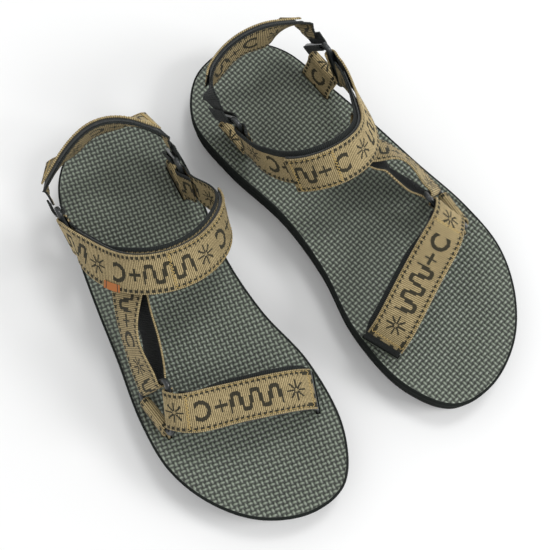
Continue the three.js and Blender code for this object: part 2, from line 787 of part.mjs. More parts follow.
// The side strap doubles back through the front ring: its inner leg bows away from the outer one.
function doubledSide(outerLeg, bar) {
  const total = totalLength(outerLeg);
  const turn = fold(bar, 1, outerLeg[outerLeg.length - 1].across).slice(1);
  const rest = WEBBING_THICKNESS + LAYER_GAP;
  const length = total - 2 * SIDE_TUCK;
  const back = layer(outerLeg, total, total - length, (d) => {
    const share = (total - d) / length;
    const straight = THREE.MathUtils.lerp(2 * FOLD_RADIUS, rest, share);
    return -(straight + INNER_LEG_BULGE * Math.sin(Math.PI * share));
  });
  for (const f of back) {
    f.out.negate();
  }
  return [...outerLeg, ...turn, ...back.slice(1)];
}

function labelPlate(tab) {
  const from = LABEL_SHARE * totalLength(tab) - LABEL_LENGTH;
  const lift = (WEBBING_THICKNESS + LABEL_THICKNESS) / 2 + LAYER_GAP;
  const frames = layer(tab, from, from + LABEL_LENGTH, () => lift);
  for (const f of frames) {
    f.centre.addScaledVector(f.across, (WEBBING_WIDTH - LABEL_WIDTH) / 2);
  }
  return ribbon(frames, LABEL_THICKNESS, () => LABEL_WIDTH);
}

// Every strap and layer of a sandal: its frames by name.
function straps(layout, { front, outer, inner }) {
  const slots = {
    toeInner: toeSlot(),
    toeOuter: slotBelow(ringBar(front, DOWN)),
    rearOuter: slotBelow(ringBar(outer, DOWN)),
    rearInner: slotBelow(ringBar(inner, DOWN)),
  };
  const toeBar = ringBar(front, OVER);
  const toeFull = toeRoute(layout, slots.toeInner, toeBar);
  const toe = closure(toeFull, toeBar, layout.toeTabShare, TOE_PATCH_SPARE);
  const instepFull = instepRoute(layout, ringBar(inner, OVER), ringBar(outer, OVER));
  const instep = closure(instepFull, ringBar(outer, OVER), layout.instepTabShare, 0);
  const instepBase = loopEnd([...instep.base].reverse(), ringBar(inner, OVER), 1, RETURN_LENGTH);
  const heelFull = heelRoute(layout, ringBar(inner, REAR), ringBar(outer, REAR));
  const heelTotal = totalLength(heelFull);
  const heelLayer = (lift, spare) => {
    const from = HEEL_LAYER_START + spare;
    return layer(heelFull, from, heelTotal - from, () => lift);
  };
  const sideOuterLeg = sideStrap(layout, instepFull, layout.sideTuckShare, ringBar(front, REAR));
  return {
    slots,
    toe,
    instep,
    instepTab: peeled(instep),
    instepBase: instepBase.reverse(),
    frontAnchor: anchorStrap(slots.toeOuter, ringBar(front, DOWN)),
    outerAnchor: anchorStrap(slots.rearOuter, ringBar(outer, DOWN)),
    innerAnchor: anchorStrap(slots.rearInner, ringBar(inner, DOWN)),
    side: doubledSide(sideOuterLeg, ringBar(front, REAR)),
    heel: heelFull,
    heelLoopPatch: heelLayer(PATCH_LIFT, 0),
    heelHookPatch: heelLayer(HOOK_LIFT, PATCH_MARGIN),
    heelTab: heelLayer(TAB_LIFT, 0),
  };
}

function pieceList(layout, ringSet, strapSet) {
  const { front, outer, inner } = ringSet;
  const { slots, toe, instep, instepTab, heelTab } = strapSet;
  const pieces = [
    ['outsole', 'rubber', outsole()],
    ['midsole', 'foam', midsole()],
    ['footbed', 'footbed', footbed(Object.values(slots))],
    ['front_ring', 'plastic', ringSolid(front)],
    ['outer_ring', 'plastic', ringSolid(outer)],
    ['inner_ring', 'plastic', ringSolid(inner)],
    ['front_anchor', 'jacquard', webbing(strapSet.frontAnchor)],
    ['outer_anchor', 'jacquard', webbing(strapSet.outerAnchor)],
    ['inner_anchor', 'jacquard', webbing(strapSet.innerAnchor)],
    ['toe_strap', 'webbing', webbing(toe.base)],
    ['toe_loop_patch', 'webbing', patchSolid(toe.loopPatch)],
    ['toe_hook_patch', 'hook', patchSolid(toe.hookPatch)],
    ['toe_tab', 'jacquard', webbing(toe.tab)],
    ['instep_strap', 'jacquard', webbing(strapSet.instepBase)],
    ['instep_loop_patch', 'webbing', patchSolid(instep.loopPatch)],
    ['instep_hook_patch', 'hook', patchSolid(instepTab.hookPatch)],
    ['instep_tab', 'jacquard', webbing(instepTab.free)],
    ['instep_return', 'jacquard', webbing(instepTab.held)],
    ['side_strap', 'jacquard', webbing(strapSet.side)],
    ['outer_keeper', 'webbing', webbing(keeper(ringBar(outer, REAR)))],
    ['inner_keeper', 'webbing', webbing(keeper(ringBar(inner, REAR)))],
    ['heel_strap', 'webbing', heelStrapSolid(strapSet.heel)],
    ['heel_loop_patch', 'webbing', patchSolid(strapSet.heelLoopPatch)],
    ['heel_hook_patch', 'hook', patchSolid(strapSet.heelHookPatch)],
    ['heel_tab', 'jacquard', webbing(heelTab)],
  ];
  if (layout.label) {
    pieces.push(['label', 'label', labelPlate(instep.tab)]);
  }
  return pieces;
}

function sandal(name, layout) {
  const ringSet = rings(layout);
  const strapSet = straps(layout, ringSet);
  const foot = new THREE.Group();
  foot.position.set(layout.place[0], layout.place[1], 0);
  foot.rotation.z = layout.turn * DEGREE;
  for (const [part, material, geometry] of pieceList(layout, ringSet, strapSet)) {
    geometry.scale(layout.mirror, 1, 1);
    const mesh = new THREE.Mesh(facingOut(geometry), MATERIALS[material]());
    mesh.name = `${name}_${part}`;
    foot.add(mesh);
  }
  foot.userData = { mirror: layout.mirror, hinges: hingesOf(ringSet, strapSet) };
  return foot;
}

function hingesOf({ front, outer, inner }, { instepTab, heelTab }) {
  return {
    toe_peel: barHinge(ringBar(front, OVER)),
    instep_peel: tabHinge(instepTab.free, WEBBING_THICKNESS / 2),
    heel_peel: tabHinge(heelTab, WEBBING_THICKNESS / 2),
    heel_swing: swingHinge(ringBar(inner, REAR), ringBar(outer, REAR)),
  };
}

// ---- Hinge lines --------------------------------------------------------------------------------

// A hinge turns from the direction towards the direction it is opened to, about its place.
function barHinge(bar) {
  return { at: bar.centre, from: bar.away, to: bar.out };
}

function tabHinge(frames, lift) {
  const root = frames[frames.length - 1];
  const from = frames[frames.length - 2].centre.clone().sub(root.centre).normalize();
  return { at: root.centre.clone().addScaledVector(root.out, lift), from, to: root.out };
}

function swingHinge(innerBar, outerBar) {
  const inner = barPoint(innerBar, KEEPER_PIVOT, 0);
  const outer = barPoint(outerBar, KEEPER_PIVOT, 0);
  return { at: inner.clone().add(outer).multiplyScalar(0.5), from: vec(0, 0, 1), to: vec(0, -1, 0) };
}

// A foot's hinge lines in the pair's frame: a place and a unit axis, turning by the right-hand rule.
function hingeLines(foot) {
  const mirrored = (v) => vec(v.x * foot.userData.mirror, v.y, v.z);
  const turned = (v) => mirrored(v).applyQuaternion(foot.quaternion);
  return Object.entries(foot.userData.hinges).map(([key, hinge]) => {
    const at = mirrored(hinge.at).applyMatrix4(foot.matrixWorld);
    const axis = turned(hinge.from).cross(turned(hinge.to)).normalize();
    return [key, { at: at.toArray(), axis: axis.toArray() }];
  });
}

// ---- The pair -----------------------------------------------------------------------------------

const pair = new THREE.Group();
const feet = Object.entries(LAYOUTS).map(([name, layout]) => [name, sandal(name, layout)]);
pair.add(...feet.map(([, foot]) => foot));

// The origin is on the ground, under the middle of the pair.
const middle = new THREE.Box3().setFromObject(pair, true).getCenter(vec(0, 0, 0));
pair.position.set(-middle.x, -middle.y, 0);
pair.updateMatrixWorld(true);
const hingeTable = feet.map(([name, foot]) => [name, Object.fromEntries(hingeLines(foot))]);
pair.userData = Object.fromEntries(hingeTable);

export default pair;
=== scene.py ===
import contextlib
import itertools
import math

import bmesh
import bpy
import numpy as np
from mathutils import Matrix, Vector, geometry, kdtree


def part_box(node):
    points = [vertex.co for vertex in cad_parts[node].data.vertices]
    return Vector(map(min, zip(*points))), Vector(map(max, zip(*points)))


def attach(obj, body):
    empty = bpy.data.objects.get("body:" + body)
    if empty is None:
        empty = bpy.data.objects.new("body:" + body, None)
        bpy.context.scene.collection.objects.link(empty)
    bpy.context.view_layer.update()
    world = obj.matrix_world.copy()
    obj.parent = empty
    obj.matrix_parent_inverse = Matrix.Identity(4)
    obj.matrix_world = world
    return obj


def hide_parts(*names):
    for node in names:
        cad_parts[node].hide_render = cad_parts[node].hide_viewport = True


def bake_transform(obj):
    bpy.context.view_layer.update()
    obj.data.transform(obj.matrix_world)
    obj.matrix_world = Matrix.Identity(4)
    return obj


# A pair of strappy sport sandals: moulded rings and woven straps on a foam sole with a textured
# footbed. Lengths are in metres, and MM turns millimetres into them.

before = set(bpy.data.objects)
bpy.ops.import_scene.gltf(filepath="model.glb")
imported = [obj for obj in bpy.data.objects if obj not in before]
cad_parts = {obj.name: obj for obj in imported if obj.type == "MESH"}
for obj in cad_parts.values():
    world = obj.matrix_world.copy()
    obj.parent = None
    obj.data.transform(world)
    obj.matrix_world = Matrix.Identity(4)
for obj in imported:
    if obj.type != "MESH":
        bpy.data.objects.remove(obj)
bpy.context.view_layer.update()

MM = 0.001
FEET = ("right", "left")
rng = np.random.default_rng(7)

# ---- Sizes of what is finer than the frame ----

RIB_PITCH = 1.15 * MM
RIB_HEIGHT = 0.13 * MM
ROWS_PER_RIB = 4
FACE_COLUMNS = 12
PILE_COLUMNS = 60
PILE_ROUGHNESS = 0.12 * MM
EDGE_STEPS = 4
SELVAGE_WIDTH = 1.6 * MM
SELVAGE_HEIGHT = 0.12 * MM
MELTED_END = 0.55
HEM_WIDTH = 4.5 * MM
UNDER_STRAP_SHOWING = 3.2 * MM

# The woven figures are laid out in plain millimetres, as the bands' uv places are.
MOTIF_REPEAT = 75.0
PICK = 1.15 / 2
END = 0.5

WEAVE_ACROSS = 2.83 * MM
WEAVE_ALONG = 3.0 * MM
WEAVE_TURN = math.radians(8)
WEAVE_DEPTH = 0.75 * MM
STRAND_HALF = 0.27
STRAND_ROUND, STRAND_RIPPLE, STRAND_BASE = 0.36, 0.4, 0.24
FLOAT_SHORTENING = 0.86
FOOTBED_GRID = 0.46 * MM
FOOTBED_DISH = 3.0 * MM
FOOTBED_DISH_RUN = 38 * MM
RIM_RADIUS = 1.6 * MM
RIM_STEPS = 5
RIM_BORDER = 1.2 * MM
OUTLINE_SPACING = 1.2 * MM

TREAD_BLOCKS = 18
TREAD_GROOVE = 2.6 * MM
TREAD_DEPTH = 2.4 * MM
TREAD_INSET = 2.2 * MM
TREAD_LENGTHWISE_CUTS = (-0.011, 0.011)

RING_CORNER = 3.0 * MM
CORNER_STEPS = 14
BAR_STEPS = 10
SECTION_STEPS = 20

THREAD_RADIUS = 0.2 * MM
THREAD_SIDES = 6
THREAD_STEPS = 6
STITCH_LENGTH = 1.9 * MM
STITCH_GAP = 0.5 * MM
ZIGZAG_STEP = 1.1 * MM
ZIGZAG_REACH = 0.9 * MM
SEAM_INSET = 1.5 * MM


# ---- Numbers and vectors ----

def unit(rows):
    return rows / np.linalg.norm(rows, axis=-1, keepdims=True)


def smooth_step(low, high, value):
    share = np.clip((value - low) / (high - low), 0, 1)
    return share * share * (3 - 2 * share)


def run_lengths(points):
    steps = np.linalg.norm(np.diff(points, axis=0), axis=1)
    return np.concatenate([[0], np.cumsum(steps)])


def through(places, values, wanted):
    """Values on a smooth curve through the given ones, at the wanted places along it."""
    slopes = np.gradient(values, places, axis=0)
    low = np.clip(np.searchsorted(places, wanted, side="right") - 1, 0, len(places) - 2)
    span = (places[low + 1] - places[low])[:, None]
    t = ((wanted - places[low])[:, None]) / span
    start = (1 + 2 * t) * (1 - t) ** 2
    stop = t * t * (3 - 2 * t)
    rise = t * (1 - t) ** 2 * span
    fall = t * t * (t - 1) * span
    return start * values[low] + stop * values[low + 1] + rise * slopes[low] + fall * slopes[low + 1]


def closed_curve(points, spacing):
    """Evenly spaced points on a smooth closed curve through the given ones."""
    lap = 4
    wrapped = np.concatenate([points[-lap:], points, points[:lap + 1]])
    places = run_lengths(wrapped)
    first, last = places[lap], places[lap + len(points)]
    count = int(round((last - first) / spacing))
    return through(places, wrapped, np.linspace(first, last, count, endpoint=False))


def inset_loop(loop, inset):
    """A plane loop that runs anticlockwise, moved inwards."""
    along = unit(np.roll(loop, -1, axis=0) - np.roll(loop, 1, axis=0))
    return loop + inset * np.stack([-along[:, 1], along[:, 0]], axis=1)


def anticlockwise(loop):
    x, y = loop[:, 0], loop[:, 1]
    area = np.sum(x * np.roll(y, -1) - y * np.roll(x, -1))
    return loop if area > 0 else loop[::-1]


def inside(points, loop):
    """Which points lie in a plane loop."""
    result = np.zeros(len(points), bool)
    x, y = points[:, 0], points[:, 1]
    for (ax, ay), (bx, by) in zip(loop, np.roll(loop, -1, axis=0)):
        if ay == by:
            continue
        crosses = (ay > y) != (by > y)
        result ^= crosses & (x < (bx - ax) * (y - ay) / (by - ay) + ax)
    return result


# ---- Meshes ----

def linked(name, data):
    """A new object in the scene that shows the data."""
    obj = bpy.data.objects.new(name, data)
    bpy.context.scene.collection.objects.link(obj)
    return obj


def piece(name, vertices, faces, materials, slots=None, uv=None, smooth=True):
    """An object from points and faces. slots holds each face's material number, and uv each corner's
    place on the band in millimetres."""
    mesh = bpy.data.meshes.new(name)
    mesh.from_pydata([tuple(v) for v in vertices], [], [tuple(f) for f in faces])
    for material in materials:
        mesh.materials.append(material)
    if slots is not None:
        mesh.polygons.foreach_set("material_index", np.asarray(slots, dtype=np.int32))
    if uv is not None:
        layer = mesh.uv_layers.new(name="weave")
        layer.data.foreach_set("uv", np.asarray(uv, dtype=np.float32).ravel())
    mesh.polygons.foreach_set("use_smooth", np.full(len(mesh.polygons), smooth))
    mesh.update()
    return linked(name, mesh)


def grid_faces(rows, columns):
    """The faces between rings of points, each ring's last point joined to its first."""
    row, column = np.meshgrid(np.arange(rows - 1), np.arange(columns), indexing="ij")
    a = row * columns + column
    b = row * columns + (column + 1) % columns
    return np.stack([a, b, b + columns, a + columns], axis=-1).reshape(-1, 4)


def tube_faces(rows, columns):
    """The faces of a closed tube: its sides, then a cap on its first ring and one on its last."""
    last = (rows - 1) * columns
    sides = [tuple(quad) for quad in grid_faces(rows, columns)]
    return [*sides, tuple(range(columns))[::-1], tuple(range(last, last + columns))]


@contextlib.contextmanager
def editing(data):
    mesh = bmesh.new()
    mesh.from_mesh(data)
    yield mesh
    mesh.to_mesh(data)
    mesh.free()


def facing_out(obj):
    """Turns an object's faces outwards."""
    with editing(obj.data) as mesh:
        if mesh.calc_volume(signed=True) < 0:
            bmesh.ops.reverse_faces(mesh, faces=mesh.faces)
    return obj


def flat_caps(obj):
    """Keeps faces with many corners flat, and turns them into triangles."""
    with editing(obj.data) as mesh:
        caps = [face for face in mesh.faces if len(face.verts) > 4]
        for face in caps:
            face.smooth = False
        bmesh.ops.triangulate(mesh, faces=caps)
    return obj


def stands_for(made, node, body):
    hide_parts(node)
    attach(made, body)


# ---- Node graphs ----

class Graph:
    """A material's node tree, with short ways to add nodes and arithmetic."""

    def __init__(self, name):
        self.material = bpy.data.materials.new(name)
        self.material.use_nodes = True
        self.tree = self.material.node_tree
        self.shader = self.tree.nodes["Principled BSDF"]

    def put(self, socket, value):
        if isinstance(value, bpy.types.NodeSocket):
            self.tree.links.new(value, socket)
        elif isinstance(value, tuple) and socket.type == "RGBA":
            socket.default_value = (*value, 1)
        else:
            socket.default_value = value

    def node(self, kind, settings=None, **inputs):
        made = self.tree.nodes.new(kind)
        for key, value in (settings or {}).items():
            setattr(made, key, value)
        for key, value in inputs.items():
            self.put(made.inputs[key.replace("_", " ")], value)
        return made

    def math(self, operation, *values):
        made = self.tree.nodes.new("ShaderNodeMath")
        made.operation = operation
        for socket, value in zip(made.inputs, values):
            self.put(socket, value)
        return made.outputs[0]

    def any_of(self, *values):
        result = values[0]
        for value in values[1:]:
            result = self.math("MAXIMUM", result, value)
        return result

    def all_of(self, *values):
        result = values[0]
        for value in values[1:]:
            result = self.math("MULTIPLY", result, value)
        return result

    def below(self, value, limit):
        return self.math("LESS_THAN", value, limit)

    def between(self, value, low, high):
        return self.all_of(self.math("GREATER_THAN", value, low), self.below(value, high))

    def mix(self, share, first, second):
        made = self.tree.nodes.new("ShaderNodeMix")
        made.data_type = "RGBA"
        self.put(made.inputs[0], share)
        self.put(made.inputs[6], first)
        self.put(made.inputs[7], second)
        return made.outputs[2]

    def noise(self, vector, scale, detail=2.0):
        made = self.node("ShaderNodeTexNoise", Vector=vector, Scale=scale, Detail=detail)
        return made.outputs["Fac"]

    def weave(self):
        """Distances along and across a band, in millimetres."""
        place = self.node("ShaderNodeUVMap", {"uv_map": "weave"}).outputs["UV"]
        parts = self.node("ShaderNodeSeparateXYZ", Vector=place)
        return place, parts.outputs["X"], parts.outputs["Y"]

    def threads(self, along, across):
        """A random tone for each single thread that shows."""
        cell = self.node("ShaderNodeCombineXYZ", X=along, Y=across).outputs["Vector"]
        tone = self.node("ShaderNodeTexWhiteNoise", {"noise_dimensions": "2D"}, Vector=cell)
        return tone.outputs["Value"]

    def rib_wave(self, along):
        return self.math("COSINE", self.math("MULTIPLY", along, 2 * math.pi * MM / RIB_PITCH))

    def thread_bump(self, across):
        wave = self.math("SINE", self.math("MULTIPLY", across, 2 * math.pi / END))
        self.bump(wave, 0.35, 0.06 * MM)

    def grain(self, scale, detail=2.0):
        """Noise over the object's own place."""
        place = self.node("ShaderNodeTexCoord").outputs["Object"]
        return self.noise(place, scale, detail)

    def bump(self, height, strength, distance):
        made = self.node("ShaderNodeBump", Height=height, Strength=strength, Distance=distance)
        self.put(self.shader.inputs["Normal"], made.outputs["Normal"])

    def finish(self, color, roughness, **extra):
        self.put(self.shader.inputs["Base Color"], color)
        self.put(self.shader.inputs["Roughness"], roughness)
        for key, value in extra.items():
            self.put(self.shader.inputs[key.replace("_", " ")], value)
        return self.material


# ---- Materials ----

# KHAKI_DEEP and PLAIN_LIGHT are the ends of mixes that carry random thread tone and also painted shade
# between the ribs and painted light on their crowns.
KHAKI = (0.60, 0.475, 0.255)
KHAKI_DEEP = (0.13, 0.10, 0.045)
FIGURE = (0.014, 0.014, 0.008)
PLAIN = (0.006, 0.007, 0.007)
PLAIN_LIGHT = (0.030, 0.035, 0.033)


def meander(graph, along, across, start, humps):
    """A line that winds across the band: straight legs joined by half rounds at either edge in turn."""
    gap, half_leg, half_line = 5.9, 2.5, 1.3
    place = graph.math("DIVIDE", graph.math("SUBTRACT", along, start), gap)
    number = graph.math("FLOOR", place)
    within = graph.math("MULTIPLY", graph.math("SUBTRACT", place, number), gap)
    side = graph.math("MULTIPLY_ADD", graph.math("FLOORED_MODULO", number, 2.0), -2.0, 1.0)
    beyond = graph.math("SUBTRACT", graph.math("MULTIPLY", across, side), half_leg)
    aside = graph.math("SUBTRACT", within, gap / 2)
    squares = graph.math("MULTIPLY_ADD", aside, aside, graph.math("MULTIPLY", beyond, beyond))
    from_middle = graph.math("SQRT", squares)
    round_miss = graph.math("ABSOLUTE", graph.math("SUBTRACT", from_middle, gap / 2))
    leg_miss = graph.math("MINIMUM", within, graph.math("SUBTRACT", gap, within))
    past_legs = graph.math("GREATER_THAN", beyond, 0.0)
    on_round = graph.all_of(graph.below(round_miss, half_line), past_legs)
    in_legs = graph.below(graph.math("ABSOLUTE", across), half_leg + 0.01)
    on_leg = graph.all_of(graph.below(leg_miss, half_line), in_legs)
    overrun = 0.19
    inside_run = graph.between(place, -overrun, humps + overrun)
    return graph.all_of(graph.any_of(on_round, on_leg), inside_run)


def around(graph, along, across, centre):
    """Polar distance and angle about a place on the band's centre line."""
    aside = graph.math("SUBTRACT", along, centre)
    squares = graph.math("MULTIPLY_ADD", aside, aside, graph.math("MULTIPLY", across, across))
    return aside, graph.math("SQRT", squares), graph.math("ARCTAN2", across, aside)


def star(graph, along, across, centre):
    spokes, inner, outer, half_line = 8, 1.2, 6.3, 0.62
    _, radius, angle = around(graph, along, across, centre)
    turned = graph.math("PINGPONG", angle, math.pi / spokes)
    miss = graph.math("MULTIPLY", radius, graph.math("SINE", turned))
    return graph.all_of(graph.below(miss, half_line), graph.between(radius, inner, outer))


def open_ring(graph, along, across, centre):
    inner, outer, mouth = 3.8, 6.3, 3.4
    aside, radius, _ = around(graph, along, across, centre)
    return graph.all_of(graph.between(radius, inner, outer), graph.below(aside, mouth))


def cross(graph, along, across, centre):
    reach, half_line = 3.8, 0.8
    aside = graph.math("ABSOLUTE", graph.math("SUBTRACT", along, centre))
    over = graph.math("ABSOLUTE", across)
    upright = graph.all_of(graph.below(aside, half_line), graph.below(over, reach))
    level = graph.all_of(graph.below(aside, reach), graph.below(over, half_line))
    return graph.any_of(upright, level)


def border(graph, along, across):
    """A row of dashes along each edge, with dots inside them."""
    repeat, dash, dot = 6 * PICK, 4 * PICK, PICK
    place = graph.math("MODULO", along, repeat)
    edge = graph.math("ABSOLUTE", across)
    dashes = graph.all_of(graph.below(place, dash), graph.between(edge, 9.5, 11.5))
    dots = graph.all_of(graph.below(place, dot), graph.between(edge, 8.5, 9.5))
    return graph.any_of(dashes, dots)


def patterned_webbing():
    """Khaki webbing with dark woven figures, stepped to the weave's threads, with painted shade in the
    furrows between its ribs.
    """
    graph = Graph("patterned_webbing")
    place, along, across = graph.weave()
    stepped = graph.math("ADD", graph.math("SNAP", along, PICK), PICK / 2)
    threaded = graph.math("ADD", graph.math("SNAP", across, END), END / 2)
    local = graph.math("FLOORED_MODULO", stepped, MOTIF_REPEAT)
    figures = graph.any_of(
        star(graph, local, threaded, 7.0),
        meander(graph, local, threaded, 17.5, 5),
        cross(graph, local, threaded, 53.5),
        open_ring(graph, local, threaded, 66.0),
        border(graph, stepped, threaded),
    )
    fleck = graph.threads(stepped, threaded)
    tone = graph.noise(place, 0.12)
    mottle = graph.math("MULTIPLY_ADD", fleck, 0.35, graph.math("MULTIPLY", tone, 0.35))
    # Painted shade: the ground darkens towards KHAKI_DEEP in the furrows between the ribs, added to the
    # random thread tone.
    rib_shade = graph.math("MULTIPLY_ADD", graph.rib_wave(along), -0.4, 0.35)
    tone_and_rib_shading = graph.math("ADD", mottle, rib_shade)
    ground = graph.mix(tone_and_rib_shading, KHAKI, KHAKI_DEEP)
    color = graph.mix(graph.math("MULTIPLY", figures, 0.94), ground, FIGURE)
    graph.thread_bump(across)
    return graph.finish(color, 0.8, Specular_IOR_Level=0.3, Sheen_Weight=0.06, Sheen_Roughness=0.4)


def plain_webbing():
    """Dark grey-green webbing: painted light on its rib crowns and painted shade between them, with
    single threads showing.
    """
    graph = Graph("plain_webbing")
    _, along, across = graph.weave()
    fleck = graph.threads(graph.math("SNAP", along, PICK), graph.math("SNAP", across, END))
    # Painted light and shade: the colour goes lighter on each rib's crown and darker between the ribs.
    rib_light = graph.math("MULTIPLY_ADD", graph.rib_wave(along), 0.35, 0.2)
    tone_and_rib_shading = graph.math("MULTIPLY_ADD", fleck, 0.4, rib_light)
    color = graph.mix(tone_and_rib_shading, PLAIN, PLAIN_LIGHT)
    graph.thread_bump(across)
    return graph.finish(color, 0.85, Specular_IOR_Level=0.25, Sheen_Weight=0.06, Sheen_Roughness=0.4)


def pile(name, dark, light, scale):
    """The matted loops or the stubbly hooks of a fastening tape."""
    graph = Graph(name)
    tangle = graph.grain(scale, 4.0)
    color = graph.mix(tangle, dark, light)
    graph.bump(tangle, 0.8, 0.25 * MM)
    return graph.finish(color, 0.95, Sheen_Weight=0.3, Sheen_Roughness=0.5)


def footbed_foam():
    """Grey-green foam coloured by its relief: painted shade darkens the pits between the strands, and
    the raised strands are painted lighter, partly as wear and partly as a painted sheen.
    """
    graph = Graph("footbed_foam")
    height = graph.node("ShaderNodeAttribute", {"attribute_name": "relief"}).outputs["Fac"]
    mottle = graph.grain(60.0, 3.0)
    grain = graph.grain(2600.0)
    # Painted shade in the pits, and a painted sheen with wear on the strand tops, both taken from the
    # relief height.
    wear_sheen_and_pit_shade = graph.math("POWER", height, 2.6)
    raised = graph.math("MULTIPLY_ADD", mottle, 0.12, graph.math("MULTIPLY", wear_sheen_and_pit_shade, 0.9))
    color = graph.mix(raised, (0.010, 0.013, 0.009), (0.225, 0.270, 0.200))
    graph.bump(grain, 0.15, 0.04 * MM)
    rough = graph.math("MULTIPLY_ADD", height, -0.42, 0.72)
    return graph.finish(color, rough, Specular_IOR_Level=0.8)


def sole_foam():
    """Near-black foam with a fine skin grain."""
    graph = Graph("sole_foam")
    grain = graph.grain(1500.0, 3.0)
    cloud = graph.grain(45.0)
    color = graph.mix(cloud, (0.011, 0.013, 0.012), (0.022, 0.025, 0.023))
    graph.bump(grain, 0.3, 0.12 * MM)
    return graph.finish(color, 0.95, Specular_IOR_Level=0.03)


def outsole_rubber():
    graph = Graph("outsole_rubber")
    grain = graph.grain(900.0, 4.0)
    color = graph.mix(grain, (0.010, 0.011, 0.011), (0.022, 0.024, 0.023))
    graph.bump(grain, 0.35, 0.15 * MM)
    rough = graph.math("MULTIPLY_ADD", grain, 0.2, 0.65)
    return graph.finish(color, rough)


def ring_plastic():
    """Moulded black plastic with a slight orange-peel skin."""
    graph = Graph("ring_plastic")
    peel = graph.grain(700.0, 1.0)
    scuff = graph.grain(140.0, 3.0)
    color = graph.mix(scuff, (0.010, 0.012, 0.013), (0.022, 0.026, 0.027))
    graph.bump(peel, 0.12, 0.08 * MM)
    rough = graph.math("MULTIPLY_ADD", scuff, 0.18, 0.2)
    return graph.finish(color, rough, Coat_Weight=0.15)


def thread(name, color, deep):
    graph = Graph(name)
    twist = graph.grain(3000.0)
    return graph.finish(graph.mix(twist, color, deep), 0.6, Sheen_Weight=0.2)


def label_cloth():
    """A blank woven label with a line near each end."""
    graph = Graph("label_cloth")
    place, along, _ = graph.weave()
    lines = graph.between(graph.math("PINGPONG", along, 6.0), 1.2, 1.9)
    fibre = graph.noise(place, 4.0, 3.0)
    ground = graph.mix(fibre, (0.46, 0.16, 0.035), (0.33, 0.10, 0.02))
    return graph.finish(graph.mix(lines, ground, (0.03, 0.02, 0.015)), 0.7)


PATTERNED = patterned_webbing()
PLAIN_WEB = plain_webbing()
LOOP = pile("loop_pile", (0.014, 0.017, 0.017), (0.055, 0.062, 0.06), 1800.0)
HOOK = pile("hook_tape", (0.006, 0.007, 0.007), (0.03, 0.033, 0.033), 2400.0)
FOOTBED = footbed_foam()
MIDSOLE = sole_foam()
OUTSOLE = outsole_rubber()
PLASTIC = ring_plastic()
GOLD_THREAD = thread("gold_thread", (0.55, 0.40, 0.13), (0.36, 0.24, 0.07))
LABEL = label_cloth()


# ---- Straps ----

def in_step(section, corners):
    """The corners of the next section in the same order as this one's."""
    def apart(order):
        return sum((a.co - b.co).length_squared for a, b in zip(section, order))
    return list(min(itertools.permutations(corners), key=apart))


def walk(first):
    """The sections from one end of a band to the other, or None where these corners are no end."""
    sections = [first]
    seen = set(first)
    while True:
        ahead = {edge.other_vert(v) for v in sections[-1] for edge in v.link_edges} - seen
        if not ahead:
            return sections
        if len(ahead) != 4:
            return None
        sections.append(in_step(sections[-1], ahead))
        seen |= ahead


def band_sections(node):
    """A band node's sections as an array of four corners each."""
    mesh = bmesh.new()
    mesh.from_mesh(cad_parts[node].data)
    bmesh.ops.remove_doubles(mesh, verts=mesh.verts, dist=1e-7)
    for edge in mesh.edges:
        far = [v for face in edge.link_faces for v in face.verts if v not in edge.verts[:]]
        sections = walk([edge.verts[0], far[0], edge.verts[1], far[1]])
        if sections:
            return np.array([[v.co[:] for v in section] for section in sections])
    raise ValueError(f"{node} has no end section")


